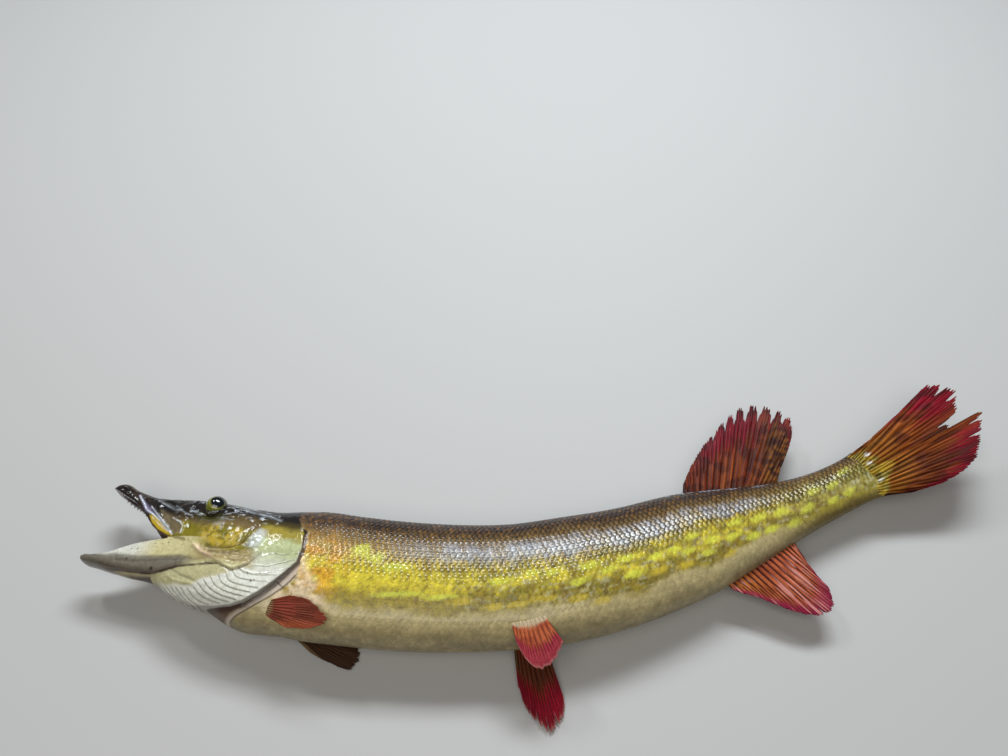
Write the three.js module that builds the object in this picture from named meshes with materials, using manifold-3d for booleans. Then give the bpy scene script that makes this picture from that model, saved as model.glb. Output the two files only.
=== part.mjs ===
// A mounted chain pickerel (Esox niger): the dried, painted skin of the fish over a light form.
// It lies on its right flank, with its mouth open and its tail curved towards its back.
import * as THREE from 'three';
import { mergeVertices } from 'three/addons/utils/BufferGeometryUtils.js';
import Module from 'manifold-3d';

const wasm = await Module();
wasm.setup();

// Millimetres. The fish is shaped straight, then bent into its pose. In the straight frame x
// runs from the gill opening (0) to the tail, so the head has negative x; y is towards the
// back, and z towards the left flank from the middle plane of the body.
const GAP = 0.3;
const SNOUT_X = -127;
const CHIN_X = -126.5;
const NECK_X = -2;
const TAIL_ROOT_X = 358;
const MOUTH_CORNER = { x: -75, y: 6.5 };
const THROAT = { x: -66, top: 5.4, foot: -12 };
const GULAR_END = { x: -79, y: -15.3 };
// Where the trunk is parted.
const TRUNK = { breast: -60, front: 80, middle: 160, rear: 240 };
const EYE = { x: -58.2, y: 29.4, z: 9.6, radius: 6.4 };

// The body inside the gill covers: [x, top, bottom, half width].
const BODY = [
  [-82, 28, -13.5, 8], [-66, 31, -20, 12], [-54, 32, -24.5, 14.8], [-42, 32.3, -29.5, 16.4],
  [-32, 32.5, -33.8, 17.2], [-20, 33, -36.8, 18.4], [0, 38.9, -35.6, 20.4], [12, 39.8, -36.2, 21.2],
  [30, 39.2, -36.2, 22],
  [70, 38.4, -35.8, 22.6], [120, 37.4, -35.2, 22.5], [160, 38.2, -34.4, 21.8], [200, 36.8, -31.8, 20],
  [235, 35.4, -28.6, 17.8], [255, 31.8, -25, 15.4], [280, 25.6, -20.3, 12.8],
  [303, 20, -17.2, 10.6], [325, 16.4, -16, 8.4], [345, 15.6, -16.2, 6.2],
  [TAIL_ROOT_X, 16.6, -17.6, 2.8],
];
// The head over it, with the gill covers closed: [x, top, bottom, half width].
const HEAD = [
  [-84, 33.8, -15.2, 10], [-78, 34.6, -18.5, 11.4], [-72, 35.2, -22, 13], [-64, 35.6, -25.3, 15.4],
  [-54, 35.2, -27.8, 18], [-44, 34.4, -29.6, 20], [-32, 33.4, -31.4, 21.6], [-18, 34, -33, 22.5],
  [-6, 36.4, -32, 22.6], [8, 38.8, -30, 22],
];
const UPPER_JAW = [
  [SNOUT_X, 35.8, 33, 4], [-124.5, 37.8, 29, 6.2], [-119, 38.9, 26, 7.7],
  [-112, 36, 22, 8], [-104, 33.9, 16, 8.1], [-96, 33.1, 10, 8.8], [-88, 33.4, 4, 9.9],
  [-80, 34.3, 0, 11.2], [-72, 35.2, -2, 13],
];
const LOWER_JAW = [
  [CHIN_X, -7.5, -12.2, 4], [-123.5, -5.5, -13.5, 6.2], [-116, -3.5, -14.4, 7.6],
  [-106, -1, -15.9, 8.5], [-96, 4, -17.2, 9.4], [-86, 8, -17.6, 10.6],
  [-76, 11, -19, 12.2], [-64, 12, -22, 14.8],
];
// The hollow of the mouth: how thick the jaws are round it, how far its shape lags behind theirs,
// and how far it runs past the lips.
const MOUTH = { side: 2.4, tip: 6, roof: 8, floor: 4.5, lag: 4, past: 30 };
const TOOTH = { height: 2, width: 1.5, sunk: 1.2, inward: 0.78 };
const TONGUE = [
  [-112, -7.7, -9.2, 1.4], [-104, -7.4, -10.2, 2.8], [-90, -6.4, -10.8, 4], [-70, -5, -11.4, 4.8],
];

// Side outlines, [x, y]. The two lips are the edges of the gape.
const UPPER_LIP = [
  [SNOUT_X - 1, 34.6], [-121.5, 32], [-116.5, 29.6], [-109, 26.6], [-103, 22.6], [-97.5, 18],
  [-91.5, 12.6], [-85, 8.6], [-79, 6.8], [MOUTH_CORNER.x, MOUTH_CORNER.y],
];
const LOWER_LIP = [
  [CHIN_X - 1, -9.8], [-118, -9], [-111, -7.6], [-106.5, -5.4], [-102.5, -2.6], [-98, 0.2],
  [-90.7, 2.8], [-83.5, 5], [MOUTH_CORNER.x, MOUTH_CORNER.y - GAP],
];
// The rear branch of the lower jaw, along the foot of the cheek to the joint.
const JAW_BRANCH_TOP = [
  [THROAT.x, THROAT.top], [-62, 3.6], [-57, -0.6], [-50, -4], [-43, -5.6], [-36, -7], [-31.5, -9.6],
];
const JAW_BRANCH_FOOT = [
  [-31.5, -9.8], [-40, -9.7], [-50, -10.4], [-60, -11.4], [-70, -13],
];
// The gill cover: its front edge up behind the cheek, then the free edge down to the isthmus.
const COVER_FRONT = [
  [-27, -4], [-24.2, 4], [-22.5, 13], [-18.5, 22], [-9, 25.5], [-2, 23],
];
const COVER_FREE_EDGE = [
  [2, 16.5], [3.9, 7], [3.4, -1.5], [-1.2, -8.2], [-5.6, -13.7], [-12.4, -20.3], [-20, -25.6],
  [-30, -29.4], [-40, -31], [-46, -38],
];
const COVER_MIDDLE_GAP = 0.5;
// The breast runs forward under the gill covers, below this line, to the isthmus.
const BREAST_LINE = [[-50, -24], [-30, -13], [NECK_X, -5]];

// Cutting shapes reach this far, which is clear of every side of the fish.
const CLEAR = 150;
const FAR = 1000;
const PAST_TAIL = 400;

// The pose: the heading of the centre line in degrees, and the middle plane's height.
const HEADING = [
  [-130, -9], [-10, -9], [50, -5], [100, 1], [140, 7.5], [175, 14], [205, 18.5], [240, 20],
  [290, 23], [340, 25.5], [460, 26],
];
const MID_HEIGHT = [
  [-130, 21.6], [-60, 21.7], [0, 21.8], [60, 21.8], [160, 21], [200, 19.2], [240, 17],
  [290, 15.8], [340, 19], [400, 25], [450, 30],
];

// A smooth line through the rows of a table: column 0 is x, and column picks the value.
function through(table, column = 1) {
  const slope = (i) => {
    const before = table[Math.max(i - 1, 0)];
    const after = table[Math.min(i + 1, table.length - 1)];
    return (after[column] - before[column]) / (after[0] - before[0]);
  };
  return (x) => {
    const at = THREE.MathUtils.clamp(x, table[0][0], table.at(-1)[0]);
    let i = 0;
    while (i < table.length - 2 && at > table[i + 1][0]) i += 1;
    const [start, end] = [table[i], table[i + 1]];
    const span = end[0] - start[0];
    const t = (at - start[0]) / span;
    const ease = t * t * (3 - 2 * t);
    const leave = t * (1 - t) * (1 - t) * slope(i) * span;
    const arrive = t * t * (t - 1) * slope(i + 1) * span;
    return THREE.MathUtils.lerp(start[column], end[column], ease) + leave + arrive;
  };
}

// The centre line is the heading summed up, a millimetre at a time.
const CENTRE_FROM = -140;
const CENTRE_TO = 470;
const heading = through(HEADING);
const midHeight = through(MID_HEIGHT);
const centreLine = [new THREE.Vector2(0, 0)];
for (let x = CENTRE_FROM; x < CENTRE_TO; x += 1) {
  const angle = THREE.MathUtils.degToRad(heading(x + 0.5));
  centreLine.push(centreLine.at(-1).clone().add(new THREE.Vector2(Math.cos(angle), Math.sin(angle))));
}

// Bends a point of the straight fish into the pose.
function posed(x, y, z) {
  const i = Math.floor(x - CENTRE_FROM);
  const centre = centreLine[i].clone().lerp(centreLine[i + 1], x - CENTRE_FROM - i);
  const angle = THREE.MathUtils.degToRad(heading(x));
  return [centre.x - Math.sin(angle) * y, centre.y + Math.cos(angle) * y, midHeight(x) + z];
}

// A three.js geometry as a closed solid.
function solid(geometry) {
  geometry.deleteAttribute('normal');
  geometry.deleteAttribute('uv');
  const merged = mergeVertices(geometry);
  return new wasm.Manifold(new wasm.Mesh({
    numProp: 3,
    vertProperties: new Float32Array(merged.getAttribute('position').array),
    triVerts: new Uint32Array(merged.index.array),
  }));
}

// A closed body along x: a cylinder whose rings take their sizes from a table.
// round is the ring's exponent, 2 for an ellipse and more for a squarer ring, and level says
// how far up from its foot the ring is widest.
function loft(table, { from, to, slices, sides, grow = 0, round = 2.2, level = 0.5 }) {
  const [top, bottom, half] = [1, 2, 3].map((column) => through(table, column));
  const power = (value) => Math.sign(value) * Math.abs(value) ** (2 / round);
  const geometry = new THREE.CylinderGeometry(1, 1, 1, sides, slices);
  const position = geometry.getAttribute('position');
  const point = new THREE.Vector3();
  for (let i = 0; i < position.count; i += 1) {
    point.fromBufferAttribute(position, i);
    const x = THREE.MathUtils.lerp(from, to, 0.5 + point.y);
    const [up, down, side] = [top(x) + grow, bottom(x) - grow, half(x) + grow];
    const widest = THREE.MathUtils.lerp(down, up, level);
    const reach = point.z > 0 ? up - widest : widest - down;
    position.setXYZ(i, x, widest + reach * power(point.z), side * power(point.x));
  }
  return solid(geometry);
}

function box(low, high) {
  const size = high.map((value, i) => value - low[i]);
  const middle = high.map((value, i) => (value + low[i]) / 2);
  return solid(new THREE.BoxGeometry(...size).translate(...middle));
}

// A length of everything between two stations of x.
function slab(fromX, toX) {
  return box([fromX, -CLEAR, -CLEAR], [toX, CLEAR, CLEAR]);
}

// A side outline pushed through the fish from one z to another.
function plate(outline, fromZ = -CLEAR, toZ = CLEAR) {
  const shape = new THREE.Shape(outline.map(([x, y]) => new THREE.Vector2(x, y)));
  const geometry = new THREE.ExtrudeGeometry(shape, { depth: toZ - fromZ, bevelEnabled: false });
  return solid(geometry.translate(0, 0, fromZ));
}

function ball({ x, y, z }, radii) {
  return solid(new THREE.SphereGeometry(1, 14, 8).scale(...radii).translate(x, y, z));
}

const mirrored = (left) => left.mirror([0, 0, 1]);
const bothSides = (left) => left.add(mirrored(left));
const moved = (outline, dx, dy) => outline.map(([x, y]) => [x + dx, y + dy]);

function material(colour, roughness) {
  return new THREE.MeshStandardMaterial({ color: colour, roughness, metalness: 0 });
}
const BACK_PAINT = material(0x4d4a2c, 0.3);
const FLANK_PAINT = material(0x8b8f38, 0.35);
const SNOUT_PAINT = material(0x4a3a33, 0.3);
const JAW_PAINT = material(0xcfcdb4, 0.3);
const COVER_PAINT = material(0xb9bd92, 0.3);
const FIN_PAINT = material(0xa34a2b, 0.45);
const MOUTH_PAINT = material(0x8d5f55, 0.4);
const GLASS = material(0x1d1f10, 0.05);

const fish = new THREE.Group();
fish.name = 'mounted_pickerel';

// What would lie under the table is cut away, which leaves the flats that the fish rests on.
const underTable = box([-FAR, -FAR, -FAR], [FAR, FAR, 0]);

function addNode(name, straight, finish) {
  const { vertProperties, triVerts } = straight.getMesh();
  const bent = new Float32Array(vertProperties.length);
  for (let i = 0; i < bent.length; i += 3) {
    bent.set(posed(...vertProperties.subarray(i, i + 3)), i);
  }
  const whole = new wasm.Manifold(new wasm.Mesh({ numProp: 3, vertProperties: bent, triVerts }));
  const cut = whole.subtract(underTable).getMesh();
  const geometry = new THREE.BufferGeometry();
  geometry.setAttribute('position', new THREE.BufferAttribute(cut.vertProperties, 3));
  geometry.setIndex(new THREE.BufferAttribute(cut.triVerts, 1));
  geometry.computeVertexNormals();
  const mesh = new THREE.Mesh(geometry, finish);
  mesh.name = name;
  fish.add(mesh);
}

// --- the shapes that the pieces are cut from ---
const bodyLoft = (grow) => loft(BODY, {
  from: BODY[0][0], to: TAIL_ROOT_X + grow, slices: 42, sides: 22, grow, round: 2.15,
});
const headLoft = (grow) => loft(HEAD, {
  from: HEAD[0][0], to: HEAD.at(-1)[0], slices: 16, sides: 26, grow, round: 2.6, level: 0.46,
});
const body = bodyLoft(0);
const bodyRoom = bodyLoft(GAP);
const headSkin = headLoft(0);
const sideShell = headSkin.subtract(bodyRoom);

const coverOutline = [
  [GULAR_END.x, GULAR_END.y], ...JAW_BRANCH_FOOT.toReversed(), ...COVER_FRONT,
  ...COVER_FREE_EDGE, [GULAR_END.x, COVER_FREE_EDGE.at(-1)[1]],
];
const branchOutline = (gap) => [
  ...moved(JAW_BRANCH_TOP, gap, gap), ...moved(JAW_BRANCH_FOOT, 0, -gap),
  [GULAR_END.x, GULAR_END.y - gap],
  [GULAR_END.x, JAW_BRANCH_TOP[0][1] + gap],
];
const coverCut = plate(moved(coverOutline, GAP, -GAP), COVER_MIDDLE_GAP);
const coverRoom = plate(coverOutline, 0);
const branchCut = plate(branchOutline(0), 0);
const branchRoom = plate(branchOutline(GAP), 0);

const behind = (line) => plate([
  [line[0][0], -CLEAR], ...line, [line.at(-1)[0], CLEAR], [PAST_TAIL, CLEAR], [PAST_TAIL, -CLEAR],
]);
const breastFront = behind(BREAST_LINE);
const breastRoom = behind(moved(BREAST_LINE, -GAP, GAP));

// The throat: a hollow that runs back from the open mouth.
const throat = ball({ x: -72, y: 0.5, z: 0 }, [26, 6.5, 8]);
const eyeSocket = bothSides(ball(EYE, Array(3).fill(EYE.radius + GAP)));

// --- head ---
function makeHead() {
  const outline = [
    [MOUTH_CORNER.x + 1, CLEAR], [MOUTH_CORNER.x + 1, MOUTH_CORNER.y],
    [THROAT.x + GAP, THROAT.top + GAP], [THROAT.x + GAP, THROAT.foot - 3 * GAP],
    [GULAR_END.x + GAP, GULAR_END.y - GAP], [GULAR_END.x + GAP, -CLEAR],
    [NECK_X, -CLEAR], [NECK_X, CLEAR],
  ];
  const cheeks = headSkin.subtract(bothSides(coverRoom)).subtract(bothSides(branchRoom));
  return cheeks.add(body).intersect(plate(outline)).subtract(breastRoom)
    .subtract(throat).subtract(eyeSocket);
}

// Small teeth stand in a row inside each lip, joined to the jaw. Each is a cone whose foot is
// sunk in the lip, and up is 1 in the lower jaw and -1 in the upper one.
function toothRow({ lip, half, from, to, count, up }) {
  const [lipHeight, halfWidth] = [through(lip), through(half, 3)];
  const row = [];
  for (let i = 0; i < count; i += 1) {
    const x = THREE.MathUtils.lerp(from, to, i / (count - 1));
    const tooth = new THREE.ConeGeometry(TOOTH.width / 2, TOOTH.height + TOOTH.sunk, 4, 1);
    if (up < 0) tooth.rotateX(Math.PI);
    const y = lipHeight(x) + (up * (TOOTH.height - TOOTH.sunk)) / 2;
    row.push(solid(tooth.translate(x, y, halfWidth(x) * TOOTH.inward)));
  }
  return bothSides(row.reduce((all, tooth) => all.add(tooth)));
}

// --- jaws ---
function makeUpperJaw() {
  const rear = MOUTH_CORNER.x + 1 - GAP;
  const whole = loft(UPPER_JAW, {
    from: SNOUT_X, to: rear, slices: 11, sides: 18, round: 2.5, level: 0.5,
  });
  const above = plate([
    ...UPPER_LIP, [rear + 1, MOUTH_CORNER.y], [rear + 1, CLEAR], [SNOUT_X - 1, CLEAR],
  ]);
  const palate = UPPER_JAW.map(([x, top, bottom, half]) => [
    x + MOUTH.lag, top - Math.min(MOUTH.roof, (top - bottom) * 0.6),
    bottom - MOUTH.past, Math.max(half - MOUTH.side, 1),
  ]);
  const hollow = loft(palate, {
    from: SNOUT_X + MOUTH.tip, to: THROAT.x + MOUTH.tip, slices: 8, sides: 14, round: 2.4,
  });
  const teeth = toothRow({
    lip: UPPER_LIP, half: UPPER_JAW, from: -120, to: -107, count: 5, up: -1,
  });
  return whole.intersect(above).subtract(hollow).add(teeth);
}

function makeLowerJaw() {
  const whole = loft(LOWER_JAW, {
    from: CHIN_X, to: THROAT.x, slices: 12, sides: 18, round: 2.5, level: 0.55,
  });
  const below = plate([
    ...LOWER_LIP, [THROAT.x, THROAT.top], [THROAT.x, THROAT.foot], JAW_BRANCH_FOOT.at(-1),
    [GULAR_END.x, GULAR_END.y], [GULAR_END.x, -CLEAR], [CHIN_X - 1, -CLEAR],
  ]);
  const floor = LOWER_JAW.map(([x, top, bottom, half]) => [
    x + MOUTH.lag, top + MOUTH.past, bottom + MOUTH.floor, Math.max(half - MOUTH.side, 1),
  ]);
  const hollow = loft(floor, {
    from: CHIN_X + MOUTH.tip, to: THROAT.x + MOUTH.tip, slices: 8, sides: 14, round: 3.2,
  });
  const branch = sideShell.intersect(branchCut).intersect(slab(THROAT.x - 1, 0));
  const teeth = toothRow({
    lip: LOWER_LIP, half: LOWER_JAW, from: -120, to: -84, count: 7, up: 1,
  });
  return whole.intersect(below).subtract(hollow).add(bothSides(branch)).add(teeth);
}

function makeTongue() {
  return loft(TONGUE, { from: TONGUE[0][0], to: TONGUE.at(-1)[0], slices: 5, sides: 10 });
}

const coverLeft = sideShell.intersect(coverCut);
addNode('head', makeHead(), BACK_PAINT);
addNode('upper_jaw', makeUpperJaw(), SNOUT_PAINT);
addNode('lower_jaw', makeLowerJaw(), JAW_PAINT);
addNode('tongue', makeTongue(), MOUTH_PAINT);
addNode('gill_cover_left', coverLeft, COVER_PAINT);
addNode('gill_cover_right', mirrored(coverLeft), COVER_PAINT);
const eyeLeft = ball(EYE, Array(3).fill(EYE.radius));
addNode('eye_left', eyeLeft, GLASS);
addNode('eye_right', mirrored(eyeLeft), GLASS);

// --- trunk and tail ---
const breast = body.intersect(breastFront).intersect(slab(TRUNK.breast, TRUNK.front));
addNode('trunk_front', breast, FLANK_PAINT);
const LENGTHS = [
  ['trunk_middle', TRUNK.front, TRUNK.middle], ['trunk_rear', TRUNK.middle, TRUNK.rear],
  ['tail_stem', TRUNK.rear, PAST_TAIL],
];
for (const [name, from, to] of LENGTHS) {
  addNode(name, body.intersect(slab(from + GAP, to)), FLANK_PAINT);
}

// --- fins ---
// Rays fan from the base line to the tip line, and the web between them is set back by
// notch. thick is the sheet's thickness at the base and at the tip.
function makeFin({ base, tip, rays, notch = 0.06, thick = [2.2, 1] }) {
  const [baseLine, tipLine] = [base, tip].map((points) => (
    new THREE.CatmullRomCurve3(points.map((xyz) => new THREE.Vector3(...xyz)))));
  const across = rays * 2;
  const geometry = new THREE.BoxGeometry(1, 1, 1, across, 3, 1);
  const position = geometry.getAttribute('position');
  const normal = baseLine.getPoint(1).sub(baseLine.getPoint(0))
    .cross(tipLine.getPoint(0.5).sub(baseLine.getPoint(0.5))).normalize();
  for (let i = 0; i < position.count; i += 1) {
    const u = position.getX(i) + 0.5;
    const v = position.getY(i) + 0.5;
    const web = Math.round(u * across) % 2 ? 0 : notch;
    const at = baseLine.getPoint(u).lerp(tipLine.getPoint(u), v * (1 - web));
    at.addScaledVector(normal, position.getZ(i) * THREE.MathUtils.lerp(...thick, v));
    position.setXYZ(i, at.x, at.y, at.z);
  }
  return solid(geometry);
}

const FINS = {
  dorsal_fin: {
    base: [[241, 31, 0], [263, 26, 0], [284, 21, 0], [301, 16.5, 0]],
    tip: [[247, 41, 0], [261, 53, 0], [280, 65, 0], [300, 74, 0], [314, 78, 0], [327, 76, 0],
      [337, 66, 0], [341, 55, 0], [331.5, 42, 0], [307, 26.5, 0]],
    rays: 10,
    notch: 0.12,
  },
  anal_fin: {
    base: [[238, -24, 0], [256, -20, 0], [274, -16.5, 0], [290, -14, 0]],
    tip: [[241, -31, 0], [252, -40, 0], [262, -50.5, 0], [271, -58, 0], [280, -62, 0],
      [287, -59, 0], [290.5, -50.5, 0], [289, -40, 0], [288.5, -27, 0]],
    rays: 9,
  },
  tail_fin: {
    base: [[352, 14.5, 0], [354, 8, 0], [355, 0, 0], [354, -9, 0], [352, -15.5, 0]],
    tip: [[372, 17, 0], [398, 22, 0], [424, 30.5, 0], [437, 33, 0], [449, 23, 0], [440, 12, 0],
      [424, 1, 0], [449, 0.5, 1], [438.5, -8, 3], [430, -16, 5], [419, -24, 6], [397, -28, 4],
      [371, -23, 0]],
    rays: 12,
    notch: 0.05,
    thick: [7, 1],
  },
  pectoral_fin_left: {
    base: [[-4, -22.5, 17.5], [-5.5, -26.5, 15.5], [-6, -30, 13]],
    tip: [[6, -20.4, 21.5], [16, -21.2, 22], [24, -25.5, 21], [28.5, -30.5, 18.5], [20, -34, 15],
      [6, -34.5, 12]],
    rays: 6,
    thick: [1.4, 1],
  },
  pectoral_fin_right: {
    base: [[0, -21, -17.5], [1, -26, -15], [3, -30, -12]],
    tip: [[22, -24, -21], [38, -29, -21], [41, -35, -20.8], [38, -42, -20.5], [26, -40.5, -19.5],
      [14, -37, -16]],
    rays: 6,
    thick: [1.4, 1],
  },
  pelvic_fin_left: {
    base: [[119, -26.3, 14.4], [127, -25.6, 14.8], [136, -24.3, 15.6]],
    tip: [[121, -37, 13], [124, -44, 11], [128.5, -49, 8.5], [134, -49.5, 8], [139, -45, 10],
      [143, -38.5, 13]],
    rays: 6,
    thick: [1.8, 1],
  },
  pelvic_fin_right: {
    base: [[120, -26, -12], [127, -25.5, -12.4], [136, -24.5, -13]],
    tip: [[121, -50, -18], [124, -62, -19.5], [129, -71, -20], [134.5, -75.5, -20],
      [140, -70, -20], [142, -60, -19]],
    rays: 6,
    thick: [1.8, 1],
  },
};
const coversAndGap = headLoft(GAP).intersect(plate(moved(coverOutline, 2 * GAP, -2 * GAP), 0));
const finRoom = bodyRoom.add(bothSides(coversAndGap));
for (const [name, shape] of Object.entries(FINS)) {
  addNode(name, makeFin(shape).subtract(finRoom), FIN_PAINT);
}

// The origin is the middle of the footprint, on the table.
const extent = new THREE.Box3().setFromObject(fish);
const middle = extent.getCenter(new THREE.Vector3());
fish.position.set(-middle.x, -middle.y, -extent.min.z);

export default fish;
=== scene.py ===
import math
import bpy
import numpy as np
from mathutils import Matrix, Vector
from mathutils.bvhtree import BVHTree


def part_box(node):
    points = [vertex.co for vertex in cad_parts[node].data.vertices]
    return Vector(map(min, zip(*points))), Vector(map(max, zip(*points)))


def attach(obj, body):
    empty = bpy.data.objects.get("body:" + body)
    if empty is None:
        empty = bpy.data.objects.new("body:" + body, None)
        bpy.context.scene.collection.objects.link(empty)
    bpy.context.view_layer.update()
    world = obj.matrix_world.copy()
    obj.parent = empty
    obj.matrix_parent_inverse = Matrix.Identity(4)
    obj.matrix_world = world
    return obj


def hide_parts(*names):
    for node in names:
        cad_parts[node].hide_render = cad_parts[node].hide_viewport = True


# A mounted chain pickerel on its right side. The fish is modelled straight, in millimetres:
# x runs from the gill opening (0) to the tail, y to the back, z to the left flank.
# bendIntoPose then turns every finished piece into the pose, in metres.
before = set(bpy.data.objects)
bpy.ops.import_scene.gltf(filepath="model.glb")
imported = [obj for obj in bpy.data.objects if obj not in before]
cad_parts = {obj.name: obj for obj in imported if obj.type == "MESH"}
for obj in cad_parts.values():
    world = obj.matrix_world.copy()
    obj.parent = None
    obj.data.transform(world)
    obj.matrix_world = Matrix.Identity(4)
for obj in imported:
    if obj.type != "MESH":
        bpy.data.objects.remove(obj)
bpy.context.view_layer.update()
bpy.ops.object.select_all(action='DESELECT')


def smoothLine(table, column=1):
    xs = np.array([row[0] for row in table], float)
    ys = np.array([row[column] for row in table], float)
    slopes = np.empty(len(xs))
    slopes[1:-1] = (ys[2:] - ys[:-2]) / (xs[2:] - xs[:-2])
    slopes[0] = (ys[1] - ys[0]) / (xs[1] - xs[0])
    slopes[-1] = (ys[-1] - ys[-2]) / (xs[-1] - xs[-2])

    def line(x):
        at = np.clip(np.asarray(x, float), xs[0], xs[-1])
        i = np.clip(np.searchsorted(xs, at, side='right') - 1, 0, len(xs) - 2)
        span = xs[i + 1] - xs[i]
        t = (at - xs[i]) / span
        ease = t * t * (3 - 2 * t)
        leave = t * (1 - t) ** 2 * slopes[i] * span
        arrive = t * t * (t - 1) * slopes[i + 1] * span
        return ys[i] + (ys[i + 1] - ys[i]) * ease + leave + arrive
    return line


def fairCurve(points, t):
    points = np.array(points, float)
    ends = (2 * points[0] - points[1], 2 * points[-1] - points[-2])
    padded = np.vstack([ends[0], points, ends[1]])
    at = np.clip(np.asarray(t, float) * (len(points) - 1), 0, len(points) - 1 - 1e-6)
    i = at.astype(int)
    w = (at - i)[:, None]
    p0, p1, p2, p3 = (padded[i + k] for k in range(4))
    d0, d1, d2 = (np.linalg.norm(b - a, axis=1)[:, None] ** 0.5
                  for a, b in ((p0, p1), (p1, p2), (p2, p3)))
    leave = ((p1 - p0) / d0 - (p2 - p0) / (d0 + d1) + (p2 - p1) / d1) * d1
    arrive = ((p2 - p1) / d1 - (p3 - p1) / (d1 + d2) + (p3 - p2) / d2) * d1
    ease = w * w * (3 - 2 * w)
    return p1 + (p2 - p1) * ease + w * (1 - w) ** 2 * leave + w * w * (w - 1) * arrive


noiseSize = 64
noiseLattice = np.random.default_rng(7).random((noiseSize, noiseSize, noiseSize))


def noise(points, size, seed=0):  # smooth value noise, 0 to 1
    at = points / size + seed * 17.3
    base = np.floor(at).astype(int)
    part = at - base
    part = part * part * (3 - 2 * part)
    total = 0
    for dx in (0, 1):
        for dy in (0, 1):
            for dz in (0, 1):
                corner = noiseLattice[(base[:, 0] + dx) % noiseSize, (base[:, 1] + dy) % noiseSize,
                                      (base[:, 2] + dz) % noiseSize]
                weight = (np.abs(1 - dx - part[:, 0]) * np.abs(1 - dy - part[:, 1])
                          * np.abs(1 - dz - part[:, 2]))
                total = total + corner * weight
    return total


def smooth(value, low, high):
    t = np.clip((value - low) / (high - low), 0, 1)
    return t * t * (3 - 2 * t)


pose = {
    'heading': [(-130, -9), (-10, -9), (50, -5), (100, 1), (140, 7.5), (175, 14), (205, 18.5),
                (240, 20), (290, 23), (340, 25.5), (460, 26)],
    'midHeight': [(-130, 21.6), (-60, 21.7), (0, 21.8), (60, 21.8), (160, 21), (200, 19.2),
                  (240, 17), (290, 15.8), (340, 19), (400, 25), (450, 30)],
    'from': -140,
    'to': 470,
    'press': 0.4,      # what would lie under the floor is pressed flat in this depth
    'highest': 44.1,   # above this the relief is flattened, to stay inside the solids
    'flatten': 0.8,    # by this share
}
eye = {'place': (-58.2, 29.4, 9.6), 'radius': 6.4, 'socketGap': 0.1, 'glassGap': 0.05,
       'lidRadius': 6.05, 'lidThick': 1.05, 'lidProud': -1.7, 'lidFacing': (0.05, 0.45, 0.89)}

heading = smoothLine(pose['heading'])
midHeight = smoothLine(pose['midHeight'])
centreAt = np.arange(pose['from'], pose['to'] + 1)
centreTurn = np.radians(heading(centreAt[:-1] + 0.5))
centreX = np.concatenate([[0], np.cumsum(np.cos(centreTurn))])
centreY = np.concatenate([[0], np.cumsum(np.sin(centreTurn))])


def bent(points):
    x, y, z = np.asarray(points, float).T
    turn = np.radians(heading(x))
    up = midHeight(x) + z
    press = pose['press']
    up = np.where(up < press, press * np.exp(np.minimum(up / press - 1, 0)), up)
    return np.column_stack([np.interp(x, centreAt, centreX) - np.sin(turn) * y,
                            np.interp(x, centreAt, centreY) + np.cos(turn) * y, up])


eyeLow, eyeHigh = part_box('eye_left')
eyeMiddle = np.array((eyeLow + eyeHigh) / 2)
poseShift = eyeMiddle * 1000 - bent([eye['place']])[0]
poseShift[2] = 0


def posed(points):
    return (bent(points) + poseShift) / 1000


def pickOnly(obj):
    bpy.ops.object.select_all(action='DESELECT')
    obj.select_set(True)
    bpy.context.view_layer.objects.active = obj


def pointsOf(obj):
    points = np.empty(len(obj.data.vertices) * 3)
    obj.data.vertices.foreach_get('co', points)
    return points.reshape(-1, 3)


def normalsOf(obj):
    normals = np.empty(len(obj.data.vertices) * 3)
    obj.data.vertex_normals.foreach_get('vector', normals)
    return normals.reshape(-1, 3)


def setPoints(obj, points):
    obj.data.vertices.foreach_set('co', np.asarray(points, float).ravel())
    obj.data.update()


def applyModifier(obj, kind, **settings):
    pickOnly(obj)
    modifier = obj.modifiers.new(kind.title(), kind)
    for name, value in settings.items():
        setattr(modifier, name, value)
    bpy.ops.object.modifier_apply(modifier=modifier.name)


def cut(obj, cutter, operation='DIFFERENCE'):
    applyModifier(obj, 'BOOLEAN', object=cutter, operation=operation, solver='MANIFOLD')
    bpy.data.objects.remove(cutter)


def joined(objects, name):
    pickOnly(objects[0])
    for obj in objects:
        obj.select_set(True)
    bpy.ops.object.join()
    bpy.context.object.name = name
    return bpy.context.object


def outwards(obj):
    pickOnly(obj)
    bpy.ops.object.mode_set(mode='EDIT')
    bpy.ops.mesh.select_all(action='SELECT')
    bpy.ops.mesh.normals_make_consistent(inside=False)
    bpy.ops.object.mode_set(mode='OBJECT')


def bendIntoPose(obj):
    points = posed(pointsOf(obj))
    points[:, 2] -= pose['flatten'] * np.maximum(points[:, 2] - pose['highest'] / 1000, 0)
    setPoints(obj, points)


def selectPoints(obj, chosen):
    pickOnly(obj)
    bpy.ops.object.mode_set(mode='EDIT')
    bpy.ops.mesh.select_mode(type='VERT')
    bpy.ops.mesh.select_all(action='DESELECT')
    bpy.ops.object.mode_set(mode='OBJECT')
    obj.data.vertices.foreach_set('select', np.asarray(chosen, bool))
    bpy.ops.object.mode_set(mode='EDIT')
    bpy.ops.mesh.select_mode(type='VERT')


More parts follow.
